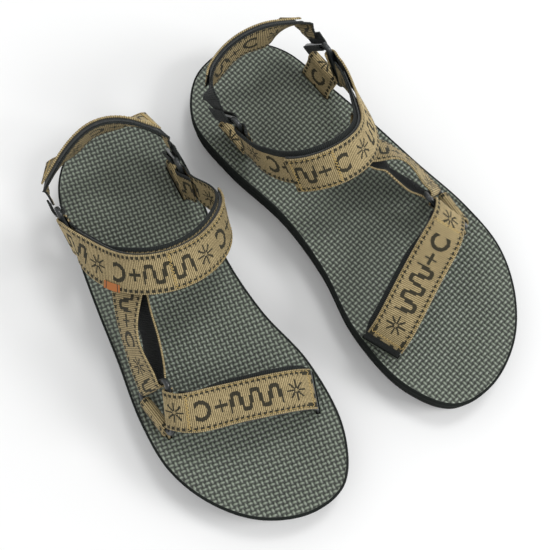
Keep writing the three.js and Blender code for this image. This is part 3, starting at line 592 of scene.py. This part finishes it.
class Route:
    """A band's centre line, with its width and the directions across it and out of its face."""

    def __init__(self, centres, across, out, widths, thickness):
        self.centres = centres
        self.across = across
        self.out = out
        self.widths = widths
        self.thickness = thickness
        self.places = run_lengths(centres)
        self.length = self.places[-1]

    @classmethod
    def of(cls, node):
        corners = band_sections(node)
        centres = corners.mean(axis=1)
        one, other = corners[:, 1] - corners[:, 0], corners[:, 3] - corners[:, 0]
        if np.linalg.norm(one[0]) < np.linalg.norm(other[0]):
            one, other = other, one
        widths = np.linalg.norm(one, axis=1)
        return cls(centres, unit(one), unit(other), widths, np.linalg.norm(other, axis=1).mean())

    def fold_share(self):
        """Where along the route its tightest half turn lies, as a share of its length."""
        reach, last = 4, len(self.out) - 1
        turned = [
            np.dot(self.out[max(0, i - reach)], self.out[min(last, i + reach)])
            for i in range(last + 1)
        ]
        return self.places[int(np.argmin(turned))] / self.length

    def long_leg_first(self):
        """A folded band from the end of its long leg to the end that returns."""
        return self if self.fold_share() >= 0.5 else self.reversed()

    def lists(self):
        return self.centres, self.across, self.out, self.widths

    def rows(self, wanted):
        """The same route with only the wanted rows, in their order."""
        return Route(*(values[wanted] for values in self.lists()), self.thickness)

    def reversed(self):
        return self.rows(slice(None, None, -1))

    def facing(self, place, at):
        """The same route, its outer face turned away from a place; at is the share of its length
        where that is judged."""
        index = int(round(at * (len(self.centres) - 1)))
        if np.dot(self.out[index], self.centres[index] - np.array(place)) > 0:
            return self
        return Route(self.centres, self.across, -self.out, self.widths, self.thickness)

    def swayed(self, direction, reach):
        """The same route, moved sideways along its middle towards a direction."""
        still, full = 0.12, 0.3
        share = self.places / self.length
        window = smooth_step(still, full, share) * smooth_step(still, full, 1 - share)
        side = np.sign(self.across[len(self.across) // 2] @ np.array(direction))
        moved = self.centres + self.across * (side * reach * window)[:, None]
        return Route(moved, self.across, self.out, self.widths, self.thickness)

    def joined(self, other):
        """This route with another after it."""
        pairs = zip(self.lists(), other.lists())
        return Route(*(np.concatenate(pair) for pair in pairs), self.thickness)

    def at(self, wanted):
        """Centres, directions across and out, and widths at the wanted distances."""
        step = 0.05 * MM
        centres = through(self.places, self.centres, wanted)
        ahead = through(self.places, self.centres, np.clip(wanted + step, 0, self.length))
        behind = through(self.places, self.centres, np.clip(wanted - step, 0, self.length))
        along = unit(ahead - behind)
        across = through(self.places, self.across, wanted)
        across = unit(across - along * np.sum(across * along, axis=1, keepdims=True))
        out = np.cross(along, across)
        out *= np.sign(np.sum(out * through(self.places, self.out, wanted), axis=1, keepdims=True))
        widths = through(self.places, self.widths[:, None], wanted)[:, 0]
        return centres, across, out, widths


def band_profile(width, thickness, face_columns):
    """A band's section from edge to edge and back: place across and height."""
    radius = thickness / 2
    flat = width / 2 - radius
    face = np.linspace(-flat, flat, face_columns + 1)
    turn = np.linspace(0, math.pi, EDGE_STEPS + 1)[1:-1]
    edge = np.stack([flat + radius * np.sin(turn), radius * np.cos(turn)], axis=1)
    top = np.stack([face, np.full(len(face), radius)], axis=1)
    return np.concatenate([top, edge, -top, -edge])


def band_heights(profile, places, full_width, core, ribs, fuzz):
    """How far each point of a band stands out of its middle: ribs, selvages, melted ends, pile."""
    rib = ribs * np.cos(2 * math.pi * places / RIB_PITCH)
    half = full_width / 2
    rim = smooth_step(half - SELVAGE_WIDTH, half - SELVAGE_WIDTH / 2, np.abs(profile[:, 0]))
    outwards = (2 * profile[:, 1] / core)[None, :]
    swell = (rib[:, None] + SELVAGE_HEIGHT * rim[None, :]) * outwards
    melted = np.ones(len(places))
    melted[[0, -1]] = MELTED_END
    height = (np.repeat(profile[:, 1][None, :], len(places), axis=0) + swell) * melted[:, None]
    height += fuzz * rng.uniform(-1, 1, height.shape) * np.sign(profile[:, 1])[None, :]
    return height


def band_slots(quads, profile, places, face_columns, full_width, change, hem):
    """Each face's material number: 0 on the face, 1 on the back, 2 on the edges and the ends."""
    column = quads[:, 0] % len(profile)
    row = quads[:, 0] // len(profile)
    on_face = column < face_columns
    back_start = face_columns + EDGE_STEPS
    on_back = (column >= back_start) & (column < back_start + face_columns)
    slots = np.where(on_face, 0, np.where(on_back, 1, 2))
    if hem is not None:
        in_hem = profile[column, 0] * hem > full_width / 2 - HEM_WIDTH
        slots = np.where(on_face & in_hem, 2, slots)
    if change is not None:
        slots = np.where(on_face & (places[row] > change), 1, slots)
    return np.concatenate([slots, [2, 2]])


def band_uv(quads, profile, places, over, offset):
    """Each face corner's distances along and across the band, in millimetres."""
    columns = len(profile)
    rows_of = np.concatenate(quads // columns)
    columns_of = np.concatenate(quads % columns)
    sides = np.stack([places[rows_of] / MM + offset, over[rows_of, columns_of] / MM], axis=1)
    first = np.stack([np.full(columns, offset), profile[::-1, 0] / MM], axis=1)
    last = np.stack([np.full(columns, offset + places[-1] / MM), profile[:, 0] / MM], axis=1)
    return np.concatenate([sides, first, last])


def woven_band(name, route, face, back, edge=None, offset=0.0, ribs=RIB_HEIGHT, change=None,
               fuzz=0.0, hem=None):
    """A ribbed band along a route, with a thicker selvage down each edge. From the change on, its
    face takes the back's material. fuzz roughens both faces into a pile. A hem in the edge's
    material runs along the face on the side where across is positive or negative."""
    face_columns = PILE_COLUMNS if fuzz else FACE_COLUMNS
    pitch = RIB_PITCH / ROWS_PER_RIB
    count = max(8, int(round(route.length / pitch)))
    places = np.linspace(0, route.length, count + 1)
    centres, across, out, widths = route.at(places)
    full_width = route.widths.max()
    core = route.thickness - 2 * (ribs + SELVAGE_HEIGHT)
    profile = band_profile(full_width, core, face_columns)
    over = profile[:, 0][None, :] * (widths / full_width)[:, None]
    height = band_heights(profile, places, full_width, core, ribs, fuzz)
    points = centres[:, None] + across[:, None] * over[..., None] + out[:, None] * height[..., None]

    quads = grid_faces(len(places), len(profile))
    slots = band_slots(quads, profile, places, face_columns, full_width, change, hem)
    uv = band_uv(quads, profile, places, over, offset)
    faces = tube_faces(len(places), len(profile))
    materials = [face, back, edge or face]
    return facing_out(piece(name, points.reshape(-1, 3), faces, materials, slots, uv))


# ---- Soles ----

def top_loops(node):
    """The outlines of a node's flat top, the longest first, and its height."""
    mesh = bmesh.new()
    mesh.from_mesh(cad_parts[node].data)
    bmesh.ops.remove_doubles(mesh, verts=mesh.verts, dist=1e-7)
    top = max(v.co.z for v in mesh.verts)
    level = 0.01 * MM
    flat = {f for f in mesh.faces if all(v.co.z > top - level for v in f.verts)}
    rims = [e for e in mesh.edges if len([f for f in e.link_faces if f in flat]) == 1]
    onward = {}
    for edge in rims:
        for vert in edge.verts:
            onward.setdefault(vert, []).append(edge.other_vert(vert))
    loops = []
    left = set(onward)
    while left:
        here = min(left, key=lambda v: v.index)
        loop = []
        while here in left:
            loop.append(here.co.xy[:])
            left.discard(here)
            here = next((v for v in onward[here] if v in left), here)
        loops.append(anticlockwise(np.array(loop)))
    loops.sort(key=lambda loop: -run_lengths(loop)[-1])
    return loops, top


class Sole:
    """A foot's outline, its slots and the heights of its layers."""

    def __init__(self, foot):
        self.foot = foot
        loops, self.top = top_loops(f"{foot}_footbed")
        self.outline = closed_curve(loops[0], OUTLINE_SPACING)
        self.slots = loops[1:]
        self.bed_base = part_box(f"{foot}_footbed")[0].z
        self.mid_base, self.mid_top = (c.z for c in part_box(f"{foot}_midsole"))
        self.out_base, self.out_top = (c.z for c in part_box(f"{foot}_outsole"))
        self.centre = self.outline.mean(axis=0)
        spread = self.outline - self.centre
        lengthwise = np.linalg.svd(spread, full_matrices=False)[2][0]
        along, aside = spread @ lengthwise, spread @ [-lengthwise[1], lengthwise[0]]
        past_middle = 50 * MM
        ahead, behind = (np.ptp(aside[sign * along > past_middle]) for sign in (1, -1))
        self.toeward = lengthwise if ahead >= behind else -lengthwise

    @property
    def inside_place(self):
        return (*self.centre, self.top)


def solid(points, outer, slots):
    """Which points lie inside the outer loop and outside every slot."""
    result = inside(points, outer)
    for slot in slots:
        result &= ~inside(points, slot)
    return result


def weave_relief(points, sole):
    """The height of a plain weave of round strands at each point, from 0 in the pits to 1."""
    side = 1 if sole.foot == "right" else -1
    angle = math.atan2(sole.toeward[1], sole.toeward[0]) - side * WEAVE_TURN
    along = np.array([math.cos(angle), math.sin(angle)])
    across = np.array([-along[1], along[0]])
    s = (points @ across) / WEAVE_ACROSS
    t = (points @ along) / WEAVE_ALONG
    column, row = np.floor(s), np.floor(t)
    sign = np.where((column + row) % 2 == 0, 1.0, -1.0)
    ds, dt = s - column - 0.5, t - row - 0.5

    def strand(beside, lengthwise, over):
        round_top = np.sqrt(np.clip(1 - (beside / STRAND_HALF) ** 2, 0, 1))
        ripple = over * np.cos(math.pi * np.clip(lengthwise * FLOAT_SHORTENING, -0.5, 0.5))
        height = STRAND_ROUND * round_top + STRAND_RIPPLE * ripple + STRAND_BASE
        return np.where(np.abs(beside) < STRAND_HALF, height, 0)

    return np.clip(np.maximum(strand(ds, dt, sign), strand(dt, ds, -sign)), 0, 1)


def loop_edges(loops):
    """The edges of loops whose points are numbered one loop after another."""
    edges = []
    start = 0
    for loop in loops:
        edges += [(start + i, start + (i + 1) % len(loop)) for i in range(len(loop))]
        start += len(loop)
    return edges


def footbed_top(sole, rim):
    """The textured top inside the rim, as points and triangles."""
    low, high = rim.min(axis=0), rim.max(axis=0)
    columns = np.arange(low[0], high[0], FOOTBED_GRID)
    rows = np.arange(low[1], high[1], FOOTBED_GRID * math.sqrt(3) / 2)
    x, y = np.meshgrid(columns, rows)
    x[1::2] += FOOTBED_GRID / 2
    grid = np.stack([x.ravel(), y.ravel()], axis=1)
    margin = 0.6 * FOOTBED_GRID
    widened = [inset_loop(slot, -margin) for slot in sole.slots]
    grid = grid[solid(grid, inset_loop(rim, margin), widened)]
    loops = [rim, *sole.slots]
    points = np.concatenate([*loops, grid])
    made = geometry.delaunay_2d_cdt([Vector(p) for p in points], loop_edges(loops), [], 1, 1e-7, False)
    flat = np.array([v[:] for v in made[0]])
    triangles = np.array(made[2])
    return flat, triangles[solid(flat[triangles].mean(axis=1), rim, sole.slots)]


def level_loop(loop, inset, z):
    """A loop moved inwards and laid at a height."""
    return np.column_stack([inset_loop(loop, inset), np.full(len(loop), z)])


def footbed_wall(sole):
    """The rings of the footbed's side, from its base to the start of its rounded rim's top."""
    chamfer = 0.3 * MM
    rings = [level_loop(sole.outline, chamfer, sole.bed_base),
             level_loop(sole.outline, 0, sole.bed_base + chamfer)]
    for turn in np.linspace(0, math.pi / 2, RIM_STEPS + 1)[:-1]:
        drop = RIM_RADIUS * (1 - math.sin(turn))
        rings.append(level_loop(sole.outline, RIM_RADIUS * (1 - math.cos(turn)), sole.top - drop))
    return rings


def footbed(sole):
    """The footbed: rounded rim, woven relief, and slots cut through it."""
    rim = inset_loop(sole.outline, RIM_RADIUS)
    flat, triangles = footbed_top(sole, rim)
    relief = weave_relief(flat, sole)
    from_rim = clearance(flat, rim)
    height = sole.top - WEAVE_DEPTH * (1 - relief) * smooth_step(0, RIM_BORDER, from_rim)
    height -= FOOTBED_DISH * smooth_step(0, FOOTBED_DISH_RUN, from_rim)
    top = np.column_stack([flat, height])

    count = len(sole.outline)
    walls = footbed_wall(sole)
    wall_points = np.concatenate(walls)
    shift = len(wall_points)
    faces = [tuple(f) for f in grid_faces(len(walls), count)]
    last = (len(walls) - 1) * count
    nearest = rim_match(flat, rim)
    for i in range(count):
        j = (i + 1) % count
        faces.append((last + i, last + j, shift + nearest[j], shift + nearest[i]))
    wall_faces = len(faces)
    faces += [tuple(t + shift for t in triangle) for triangle in triangles]

    points = [*wall_points, *top]
    floor_loops = [list(range(count))]
    for slot in sole.slots:
        corners = rim_match(flat, slot)
        base = len(points)
        points += [np.array([*corner, sole.bed_base]) for corner in slot]
        size = len(slot)
        for i in range(size):
            j = (i + 1) % size
            faces.append((shift + corners[j], shift + corners[i], base + i, base + j))
        floor_loops.append(list(range(base, base + size)))
    faces += floor(points, floor_loops, sole)
    # The relief values set the footbed's colour: they paint shade into the pits and a lighter, partly
    # painted sheen onto the strand tops.
    wall_tone = np.full(shift, 0.12)
    tint = np.concatenate([wall_tone, relief, np.zeros(len(points) - shift - len(flat))])
    slots = np.ones(len(faces), dtype=int)
    slots[wall_faces:wall_faces + len(triangles)] = 0
    made = piece(f"{sole.foot}_footbed_sheet", points, faces, [FOOTBED, MIDSOLE], slots)
    attribute = made.data.attributes.new("relief", "FLOAT", "POINT")
    attribute.data.foreach_set("value", tint.astype(np.float32))
    with editing(made.data) as mesh:
        bmesh.ops.recalc_face_normals(mesh, faces=mesh.faces)
    stands_for(made, f"{sole.foot}_footbed", f"{sole.foot}_sandal")


def search_tree(points):
    tree = kdtree.KDTree(len(points))
    for number, (x, y) in enumerate(points):
        tree.insert((x, y, 0), number)
    tree.balance()
    return tree


def clearance(points, loop):
    """Each point's distance from a loop's points."""
    tree = search_tree(loop)
    return np.array([tree.find((x, y, 0))[2] for x, y in points])


def rim_match(flat, loop):
    """The number of the point at each of a loop's corners."""
    tree = search_tree(flat)
    return [tree.find((x, y, 0))[1] for x, y in loop]


def floor(points, loops, sole):
    """The flat underside between an outer loop and the slots' loops."""
    numbers = [number for loop in loops for number in loop]
    flat = [Vector(points[number][:2]) for number in numbers]
    made = geometry.delaunay_2d_cdt(flat, loop_edges(loops), [], 1, 1e-7)
    corners = np.array([v[:] for v in made[0]])
    matched = rim_match(np.array([v[:] for v in flat]), corners)
    triangles = np.array(made[2])
    outer = np.array([points[number][:2] for number in loops[0]])
    triangles = triangles[solid(corners[triangles].mean(axis=1), outer, sole.slots)]
    return [tuple(numbers[matched[k]] for k in triangle[::-1]) for triangle in triangles]


def layer(name, sole, profile, material):
    """A layer of the sole, from insets and heights that run from its base to its top."""
    rings = [level_loop(sole.outline, inset, z) for inset, z in profile]
    faces = tube_faces(len(rings), len(sole.outline))
    return flat_caps(facing_out(piece(name, np.concatenate(rings), faces, [material])))


def midsole(sole):
    """The thick dark foam layer, with softened edges and a shallow line round its side."""
    base, top = sole.mid_base, sole.mid_top
    tall = top - base
    profile = [
        (2.2 * MM, base),
        (1.4 * MM, base + 0.3 * MM),
        (1.0 * MM, base + 0.9 * MM),
        (0.85 * MM, base + 0.25 * tall),
        (0.55 * MM, base + 0.55 * tall),
        (0.3 * MM, base + 0.78 * tall),
        (0.55 * MM, base + 0.8 * tall),
        (0.55 * MM, base + 0.83 * tall),
        (0.15 * MM, base + 0.85 * tall),
        (0, top - 0.5 * MM),
        (0.2 * MM, top - 0.12 * MM),
        (0.8 * MM, top),
    ]
    made = layer(f"{sole.foot}_midsole_body", sole, profile, MIDSOLE)
    stands_for(made, f"{sole.foot}_midsole", f"{sole.foot}_sandal")


def outsole(sole):
    """The rubber sheet, and the tread blocks under it."""
    base, top = sole.out_base + TREAD_DEPTH, sole.out_top
    profile = [
        (2.0 * MM, base),
        (1.6 * MM, base + 0.2 * MM),
        (1.1 * MM, top - 0.4 * MM),
        (1.4 * MM, top),
    ]
    made = layer(f"{sole.foot}_outsole_sheet", sole, profile, OUTSOLE)
    stands_for(made, f"{sole.foot}_outsole", f"{sole.foot}_sandal")

    tread = tread_blocks(sole)
    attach(tread, f"{sole.foot}_sandal")


def tread_blocks(sole):
    """Blocks under the sheet, between grooves across the sole and two grooves along it."""
    mesh = bmesh.new()
    inner = inset_loop(sole.outline, TREAD_INSET)
    lowest = sole.out_base
    ceiling = lowest + TREAD_DEPTH + 0.1 * MM
    mesh.faces.new([mesh.verts.new((*p, lowest)) for p in inner])
    toeward = Vector((*sole.toeward, 0))
    sideways = Vector((-toeward.y, toeward.x, 0))
    centre = Vector((*sole.centre, 0))
    reach = (inner - sole.centre) @ sole.toeward
    cuts = np.linspace(reach.min(), reach.max(), TREAD_BLOCKS + 1)[1:-1]
    grooves = [(toeward, place) for place in cuts]
    grooves += [(sideways, place) for place in TREAD_LENGTHWISE_CUTS]
    for normal, place in grooves:
        for edge in (-TREAD_GROOVE / 2, TREAD_GROOVE / 2):
            everything = mesh.verts[:] + mesh.edges[:] + mesh.faces[:]
            origin = centre + normal * (place + edge)
            bmesh.ops.bisect_plane(mesh, geom=everything, plane_co=origin, plane_no=normal)
    doomed = []
    for face in mesh.faces:
        middle = face.calc_center_median() - centre
        gaps = [abs(middle.dot(normal) - place) for normal, place in grooves]
        if min(gaps) < TREAD_GROOVE * 0.49:
            doomed.append(face)
    bmesh.ops.delete(mesh, geom=doomed, context="FACES")
    top = bmesh.ops.extrude_face_region(mesh, geom=mesh.faces[:])
    lifted = [v for v in top["geom"] if isinstance(v, bmesh.types.BMVert)]
    bmesh.ops.translate(mesh, verts=lifted, vec=(0, 0, ceiling - lowest))
    bmesh.ops.recalc_face_normals(mesh, faces=mesh.faces)
    data = bpy.data.meshes.new(f"{sole.foot}_tread")
    mesh.to_mesh(data)
    mesh.free()
    data.materials.append(OUTSOLE)
    obj = linked(f"{sole.foot}_tread", data)
    bevel = obj.modifiers.new("softened", "BEVEL")
    bevel.width = 0.35 * MM
    bevel.segments = 2
    bevel.limit_method = "ANGLE"
    return obj


# ---- Rings ----

def ring(node, body):
    """A moulded triangular ring: a rounded wire swept round three bars and three corners."""
    points = np.array([v.co[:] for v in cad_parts[node].data.vertices])
    unique = np.unique(np.round(points, 7), axis=0)
    centre = unique.mean(axis=0)
    axes = np.linalg.svd(unique - centre, full_matrices=False)[2]
    normal = axes[2]
    thick = np.abs((unique - centre) @ normal).max()
    wire = thick / math.cos(math.pi / 8)
    flat = (unique - centre) - np.outer((unique - centre) @ normal, normal)
    spans = np.linalg.norm(flat, axis=1)
    corner = flat[spans.argmax()] / spans.max()
    beside = np.cross(normal, corner)
    path, away = ring_path(spans.max() - wire * math.cos(math.pi / 8) - RING_CORNER)
    shape = wire_section()
    spread = path[:, None] + away[:, None] * (wire * shape[:, 0])[None, :, None]
    vertices = (centre + spread[..., :1] * corner + spread[..., 1:] * beside
                + (wire * 0.92 * shape[:, 1])[None, :, None] * normal)
    rows = len(path)
    faces = grid_faces(rows + 1, SECTION_STEPS) % (rows * SECTION_STEPS)
    made = facing_out(piece(f"{node}_moulding", vertices.reshape(-1, 3), faces, [PLASTIC]))
    stands_for(made, node, body)


def ring_path(reach):
    """A rounded triangle's points and the directions out of it; reach is its corners' distance."""
    path, away = [], []
    for k in range(3):
        facing = 2 * math.pi * k / 3
        middle = reach * np.array([math.cos(facing), math.sin(facing)])
        for angle in np.linspace(facing - math.pi / 3, facing + math.pi / 3, CORNER_STEPS + 1):
            direction = np.array([math.cos(angle), math.sin(angle)])
            path.append(middle + RING_CORNER * direction)
            away.append(direction)
        following = facing + 2 * math.pi / 3
        start = path[-1]
        stop = reach * np.array([math.cos(following), math.sin(following)]) + RING_CORNER * away[-1]
        for share in np.linspace(0, 1, BAR_STEPS + 1)[1:-1]:
            path.append(start + share * (stop - start))
            away.append(away[-1])
    return np.array(path), np.array(away)


def wire_section():
    """The wire's section: a circle with its sides slightly squared."""
    squared = 2.6
    turns = np.linspace(0, 2 * math.pi, SECTION_STEPS, endpoint=False)
    sides = (np.cos(turns), np.sin(turns))
    return np.stack([np.sign(side) * np.abs(side) ** (2 / squared) for side in sides], axis=1)


# ---- Strap sets ----

def strap(foot, part, body, face, back, at, name="band", offset=0.0, edge=None,
          plain_inner_leg=False, ribs=RIB_HEIGHT, fuzz=0.0, heelward=0.0, hemmed=False):
    """One band of a sandal: its finish, which face looks out, and the body that it rides on."""
    node = f"{foot}_{part}"
    route = Route.of(node).long_leg_first().facing(SOLES[foot].inside_place, at)
    change = route.fold_share() * route.length if plain_inner_leg else None
    heel_direction = np.array((*-SOLES[foot].toeward, 0))
    if heelward:
        route = route.swayed(heel_direction, heelward)
    hem = np.sign(route.across[len(route.across) // 2] @ heel_direction) if hemmed else None
    made = woven_band(f"{node}_{name}", route, face, back, edge, offset, ribs, change, fuzz, hem)
    stands_for(made, node, f"{foot}_{body}")
    return route


def stitch(start, stop, out):
    """One stitch as a short tube that rises from the cloth and dives back into it."""
    shares = np.linspace(0, 1, THREAD_STEPS)
    rise = THREAD_RADIUS * (2.4 * np.sin(math.pi * shares) - 1.2)
    line = start + np.outer(shares, stop - start) + np.outer(rise, out)
    along = unit(np.gradient(line, axis=0))
    side = unit(np.cross(along, out))
    up = np.cross(side, along)
    turns = np.linspace(0, 2 * math.pi, THREAD_SIDES, endpoint=False)
    circle = side[:, None] * np.cos(turns)[None, :, None] + up[:, None] * np.sin(turns)[None, :, None]
    return (line[:, None] + THREAD_RADIUS * circle).reshape(-1, 3)


def seam(name, route, ends, material):
    """Stitches on a route's face. ends holds each one's start and stop as (along, across)."""
    ends = np.array(ends)
    starts, stops = (route.at(ends[:, k, 0]) for k in (0, 1))
    lift = route.thickness / 2 - SELVAGE_HEIGHT - RIB_HEIGHT / 2
    points, faces = [], []
    for i, ((_, from_across), (_, to_across)) in enumerate(ends):
        start = starts[0][i] + starts[1][i] * from_across + starts[2][i] * lift
        stop = stops[0][i] + stops[1][i] * to_across + stops[2][i] * lift
        made = stitch(start, stop, starts[2][i])
        faces += [tuple(f + len(points)) for f in grid_faces(THREAD_STEPS, THREAD_SIDES)]
        points.extend(made)
    return piece(name, points, faces, [material])


def tape_seam(foot, place, route):
    """The gold stitching of a tab's hook tape: a zigzag over each end and a run by each edge."""
    tape = Route.of(f"{foot}_{place}_hook_patch")
    centres = route.at(route.places)[0]
    first, last = sorted(
        route.places[np.linalg.norm(centres - end, axis=1).argmin()]
        for end in (tape.centres[0], tape.centres[-1])
    )
    first, last = max(first, SEAM_INSET), min(last, route.length - SEAM_INSET)
    reach = route.widths.max() / 2 - SEAM_INSET
    ends = []
    for place_along in (first, last):
        across = np.arange(-reach, reach, ZIGZAG_STEP)
        sway = ZIGZAG_REACH * np.where(np.arange(len(across)) % 2 == 0, 1, -1)
        corners = list(zip(place_along + sway, across))
        ends += list(zip(corners[:-1], corners[1:]))
    for side in (-reach, reach):
        for along in np.arange(first, last - STITCH_LENGTH, STITCH_LENGTH + STITCH_GAP):
            ends.append(((along, side), (along + STITCH_LENGTH, side)))
    made = seam(f"{foot}_{place}_tape_stitching", route, ends, GOLD_THREAD)
    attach(made, f"{foot}_{place}_tab")


def instep_cover(foot):
    """The instep tab and its return round the ring, joined into one band."""
    free, held = Route.of(f"{foot}_instep_tab"), Route.of(f"{foot}_instep_return")
    gaps = {}
    for first in (free, free.reversed()):
        for second in (held, held.reversed()):
            gaps[np.linalg.norm(first.centres[-1] - second.centres[0])] = (first, second)
    free, held = gaps[min(gaps)]
    free = free.facing(SOLES[foot].inside_place, 0.5)
    held = held.facing(free.centres[-1] - 5 * MM * free.out[-1], 0.0)
    if np.dot(free.across[-1], held.across[0]) < 0:
        held = Route(held.centres, -held.across, held.out, held.widths, held.thickness)
    route = free.joined(held.rows(slice(1, None)))
    made = woven_band(f"{foot}_instep_cover", route, PATTERNED, PLAIN_WEB, offset=30.0)
    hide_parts(f"{foot}_instep_tab", f"{foot}_instep_return")
    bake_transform(made)
    return route


def loop_tape(foot, place, body):
    strap(foot, f"{place}_loop_patch", body, LOOP, LOOP, 0.5, "pile",
          ribs=0.0, fuzz=PILE_ROUGHNESS)


def hook_tape(foot, place):
    strap(foot, f"{place}_hook_patch", f"{place}_tab", HOOK, HOOK, 0.5, "hooks",
          ribs=0.0, fuzz=PILE_ROUGHNESS)


def sandal(foot):
    sole = SOLES[foot]
    footbed(sole)
    midsole(sole)
    outsole(sole)
    for place in ("front", "outer", "inner"):
        ring(f"{foot}_{place}_ring", f"{foot}_sandal")
        strap(foot, f"{place}_anchor", "sandal", PATTERNED, PATTERNED, 0.35,
              offset=50.0)
    strap(foot, "toe_strap", "sandal", PLAIN_WEB, PLAIN_WEB, 0.6,
          heelward=UNDER_STRAP_SHOWING)
    loop_tape(foot, "toe", "sandal")
    hook_tape(foot, "toe")
    tab = strap(foot, "toe_tab", "toe_tab", PATTERNED, PLAIN_WEB, 0.3, offset=-8.0)
    tape_seam(foot, "toe", tab)
    strap(foot, "instep_strap", "sandal", PATTERNED, PATTERNED, 0.6, offset=12.0,
          edge=PLAIN_WEB, heelward=UNDER_STRAP_SHOWING, hemmed=True)
    loop_tape(foot, "instep", "sandal")
    hook_tape(foot, "instep")
    tape_seam(foot, "instep", instep_cover(foot))
    strap(foot, "side_strap", "sandal", PATTERNED, PLAIN_WEB, 0.3, offset=12.0,
          plain_inner_leg=True)
    strap(foot, "outer_keeper", "sandal", PLAIN_WEB, PLAIN_WEB, 0.1)
    strap(foot, "inner_keeper", "sandal", PLAIN_WEB, PLAIN_WEB, 0.1)
    strap(foot, "heel_strap", "heel_strap", PLAIN_WEB, PATTERNED, 0.5, offset=9.0)
    loop_tape(foot, "heel", "heel_strap")
    hook_tape(foot, "heel")
    tab = strap(foot, "heel_tab", "heel_tab", PATTERNED, PLAIN_WEB, 0.5,
                offset=44.0)
    tape_seam(foot, "heel", tab)
    if f"{foot}_label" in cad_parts:
        strap(foot, "label", "instep_tab", LABEL, LABEL, 0.5, ribs=0.02 * MM)


# ---- Camera, light and floor ----

CAMERA_TARGET = (-4.467 * MM, 2.782 * MM, 0)
CAMERA_DISTANCE = 0.8
CAMERA_ELEVATION = math.radians(75.4)
FOCAL_LENGTH = 79.2
SENSOR_WIDTH = 36
WORLD_STRENGTH = 0.79
FLOOR_HALF = 6.0


def look(obj, place, target):
    obj.location = place
    obj.rotation_euler = (Vector(target) - Vector(place)).to_track_quat("-Z", "Y").to_euler()


def camera():
    target = Vector(CAMERA_TARGET)
    data = bpy.data.cameras.new("camera")
    data.lens = FOCAL_LENGTH
    data.sensor_width = SENSOR_WIDTH
    obj = linked("camera", data)
    backwards = Vector((0, -math.cos(CAMERA_ELEVATION), math.sin(CAMERA_ELEVATION)))
    place = target + CAMERA_DISTANCE * backwards
    look(obj, place, target)
    bpy.context.scene.camera = obj


def area_light(name, place, size, power):
    """A square lamp that looks at the middle of the pair."""
    data = bpy.data.lights.new(name, "AREA")
    data.size = size
    data.energy = power
    look(linked(name, data), place, (0, 0, 0))


def studio():
    world = bpy.data.worlds.new("studio")
    world.use_nodes = True
    background = world.node_tree.nodes["Background"]
    background.inputs["Color"].default_value = (1.0, 1.0, 1.0, 1)
    background.inputs["Strength"].default_value = WORLD_STRENGTH
    bpy.context.scene.world = world
    bpy.context.scene.view_settings.view_transform = "Standard"
    area_light("key", (2.5, -0.3, 1.9), size=1.1, power=40)
    area_light("top", (0.6, 0.9, 2.6), size=0.6, power=15)

    graph = Graph("floor")
    tone = graph.grain(1.5)
    surface = graph.finish(graph.mix(tone, (0.86, 0.87, 0.87), (0.9, 0.9, 0.9)), 0.9)
    signs = ((-1, -1), (1, -1), (1, 1), (-1, 1))
    corners = [(x * FLOOR_HALF, y * FLOOR_HALF, 0) for x, y in signs]
    floor_sheet = piece("floor", corners, [(0, 1, 2, 3)], [surface], smooth=False)


# ---- The pair ----

camera()
studio()
SOLES = {foot: Sole(foot) for foot in FEET}
for side in FEET:
    sandal(side)
